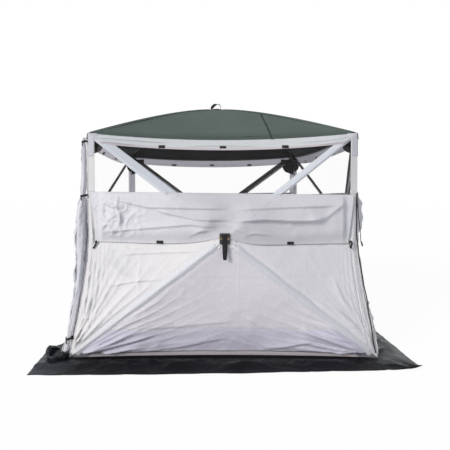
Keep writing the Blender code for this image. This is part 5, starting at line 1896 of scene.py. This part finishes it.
# Camera, light and floor

CAMERA_PLACE = (-0.205, -4.444, 1.278)
CAMERA_LENS = 33.4
CAMERA_SHIFT = (0.0622, -0.069)
SUN_STRENGTH = 2.60
SUN_WAY = (0.55, 0.486, -0.30)
ROOM_LIGHT = 0.595
FLOOR_HALF = 40.0
FLOOR_GAP = 0.0005
WHITE = (1.0, 1.0, 1.0, 1.0)


def build_camera():
    data = bpy.data.cameras.new("photo view")
    camera = placed("photo view", data)
    camera.location = CAMERA_PLACE
    camera.rotation_euler = (math.pi / 2, 0, 0)
    data.sensor_width = 36
    data.lens = CAMERA_LENS
    data.shift_x, data.shift_y = CAMERA_SHIFT
    bpy.context.scene.camera = camera


def plain_tree(owner):
    """An empty node tree, and 1 for the rays that show the background as it is."""
    owner.use_nodes = True
    tree = owner.node_tree
    tree.nodes.clear()
    path = add_node(tree, "LightPath").outputs
    seen = math_node(tree, path["Is Camera Ray"], path["Is Glossy Ray"], "MAXIMUM")
    return tree, math_node(tree, seen, path["Is Transmission Ray"], "MAXIMUM")


def mix_shaders(tree, share, first, second):
    return add_node(tree, "MixShader", {0: share, 1: first.outputs[0], 2: second.outputs[0]})


def build_light():
    sun = bpy.data.lights.new("soft key", "SUN")
    sun.energy = SUN_STRENGTH
    sun.angle = math.radians(16)
    sun.color = (1.0, 0.965, 0.925)
    placed("soft key", sun).rotation_euler = Vector(SUN_WAY).to_track_quat("-Z", "Y").to_euler()
    world = bpy.context.scene.world or bpy.data.worlds.new("studio")
    bpy.context.scene.world = world
    tree, seen = plain_tree(world)
    room = add_node(tree, "Background", {"Color": (0.89, 0.94, 1.0, 1.0), "Strength": ROOM_LIGHT})
    white = add_node(tree, "Background", {"Color": WHITE, "Strength": 1.0})
    add_node(tree, "OutputWorld", {"Surface": mix_shaders(tree, seen, room, white).outputs[0]})


def build_floor():
    corners = [(x * FLOOR_HALF, y * FLOOR_HALF, 0) for x, y in ((-1, -1), (1, -1), (1, 1), (-1, 1))]
    mesh = bpy.data.meshes.new("studio_floor")
    mesh.from_pydata(corners, [], [(0, 1, 2, 3)])
    floor = placed("studio_floor", mesh)
    floor.location.z = -FLOOR_GAP
    made = bpy.data.materials.new("pale studio floor")
    tree, seen = plain_tree(made)
    pale = add_node(tree, "BsdfDiffuse", {"Color": (0.98, 0.98, 0.98, 1.0)})
    white = add_node(tree, "Emission", {"Color": WHITE, "Strength": 1.0})
    plain = add_node(tree, "BsdfDiffuse", {"Color": (0.70, 0.70, 0.70, 1.0)})
    shown = mix_shaders(tree, seen, plain, mix_shaders(tree, 0.94, pale, white))
    add_node(tree, "OutputMaterial", {"Surface": shown.outputs[0]})
    mesh.materials.append(made)


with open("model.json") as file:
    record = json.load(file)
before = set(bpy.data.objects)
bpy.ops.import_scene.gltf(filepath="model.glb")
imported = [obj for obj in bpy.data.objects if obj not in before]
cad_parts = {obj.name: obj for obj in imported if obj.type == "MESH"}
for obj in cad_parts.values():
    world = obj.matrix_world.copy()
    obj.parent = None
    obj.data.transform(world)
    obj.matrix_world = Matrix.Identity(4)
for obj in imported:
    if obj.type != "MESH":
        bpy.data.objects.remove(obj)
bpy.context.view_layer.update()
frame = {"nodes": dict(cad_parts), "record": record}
bpy.context.scene.view_settings.view_transform = "Standard"
build_camera()
build_light()
build_floor()
PAINT = build_paint()
STITCHES = make_stitch_tree()
finish_frame_parts()
for wall in FACES:
    for build in (build_panel, build_screens, build_sleeves, build_pockets, build_edges,
                  build_corner_patches, build_gussets, build_cover, build_tabs, build_hub_cloth,
                  build_eyelets, build_strap, build_stitches):
        build(wall)
build_roof()
build_roof_loop()
build_skirt()
build_door_roll()
build_door_ties()
build_zip_tails()
build_corner_zips()
build_corner_seams()
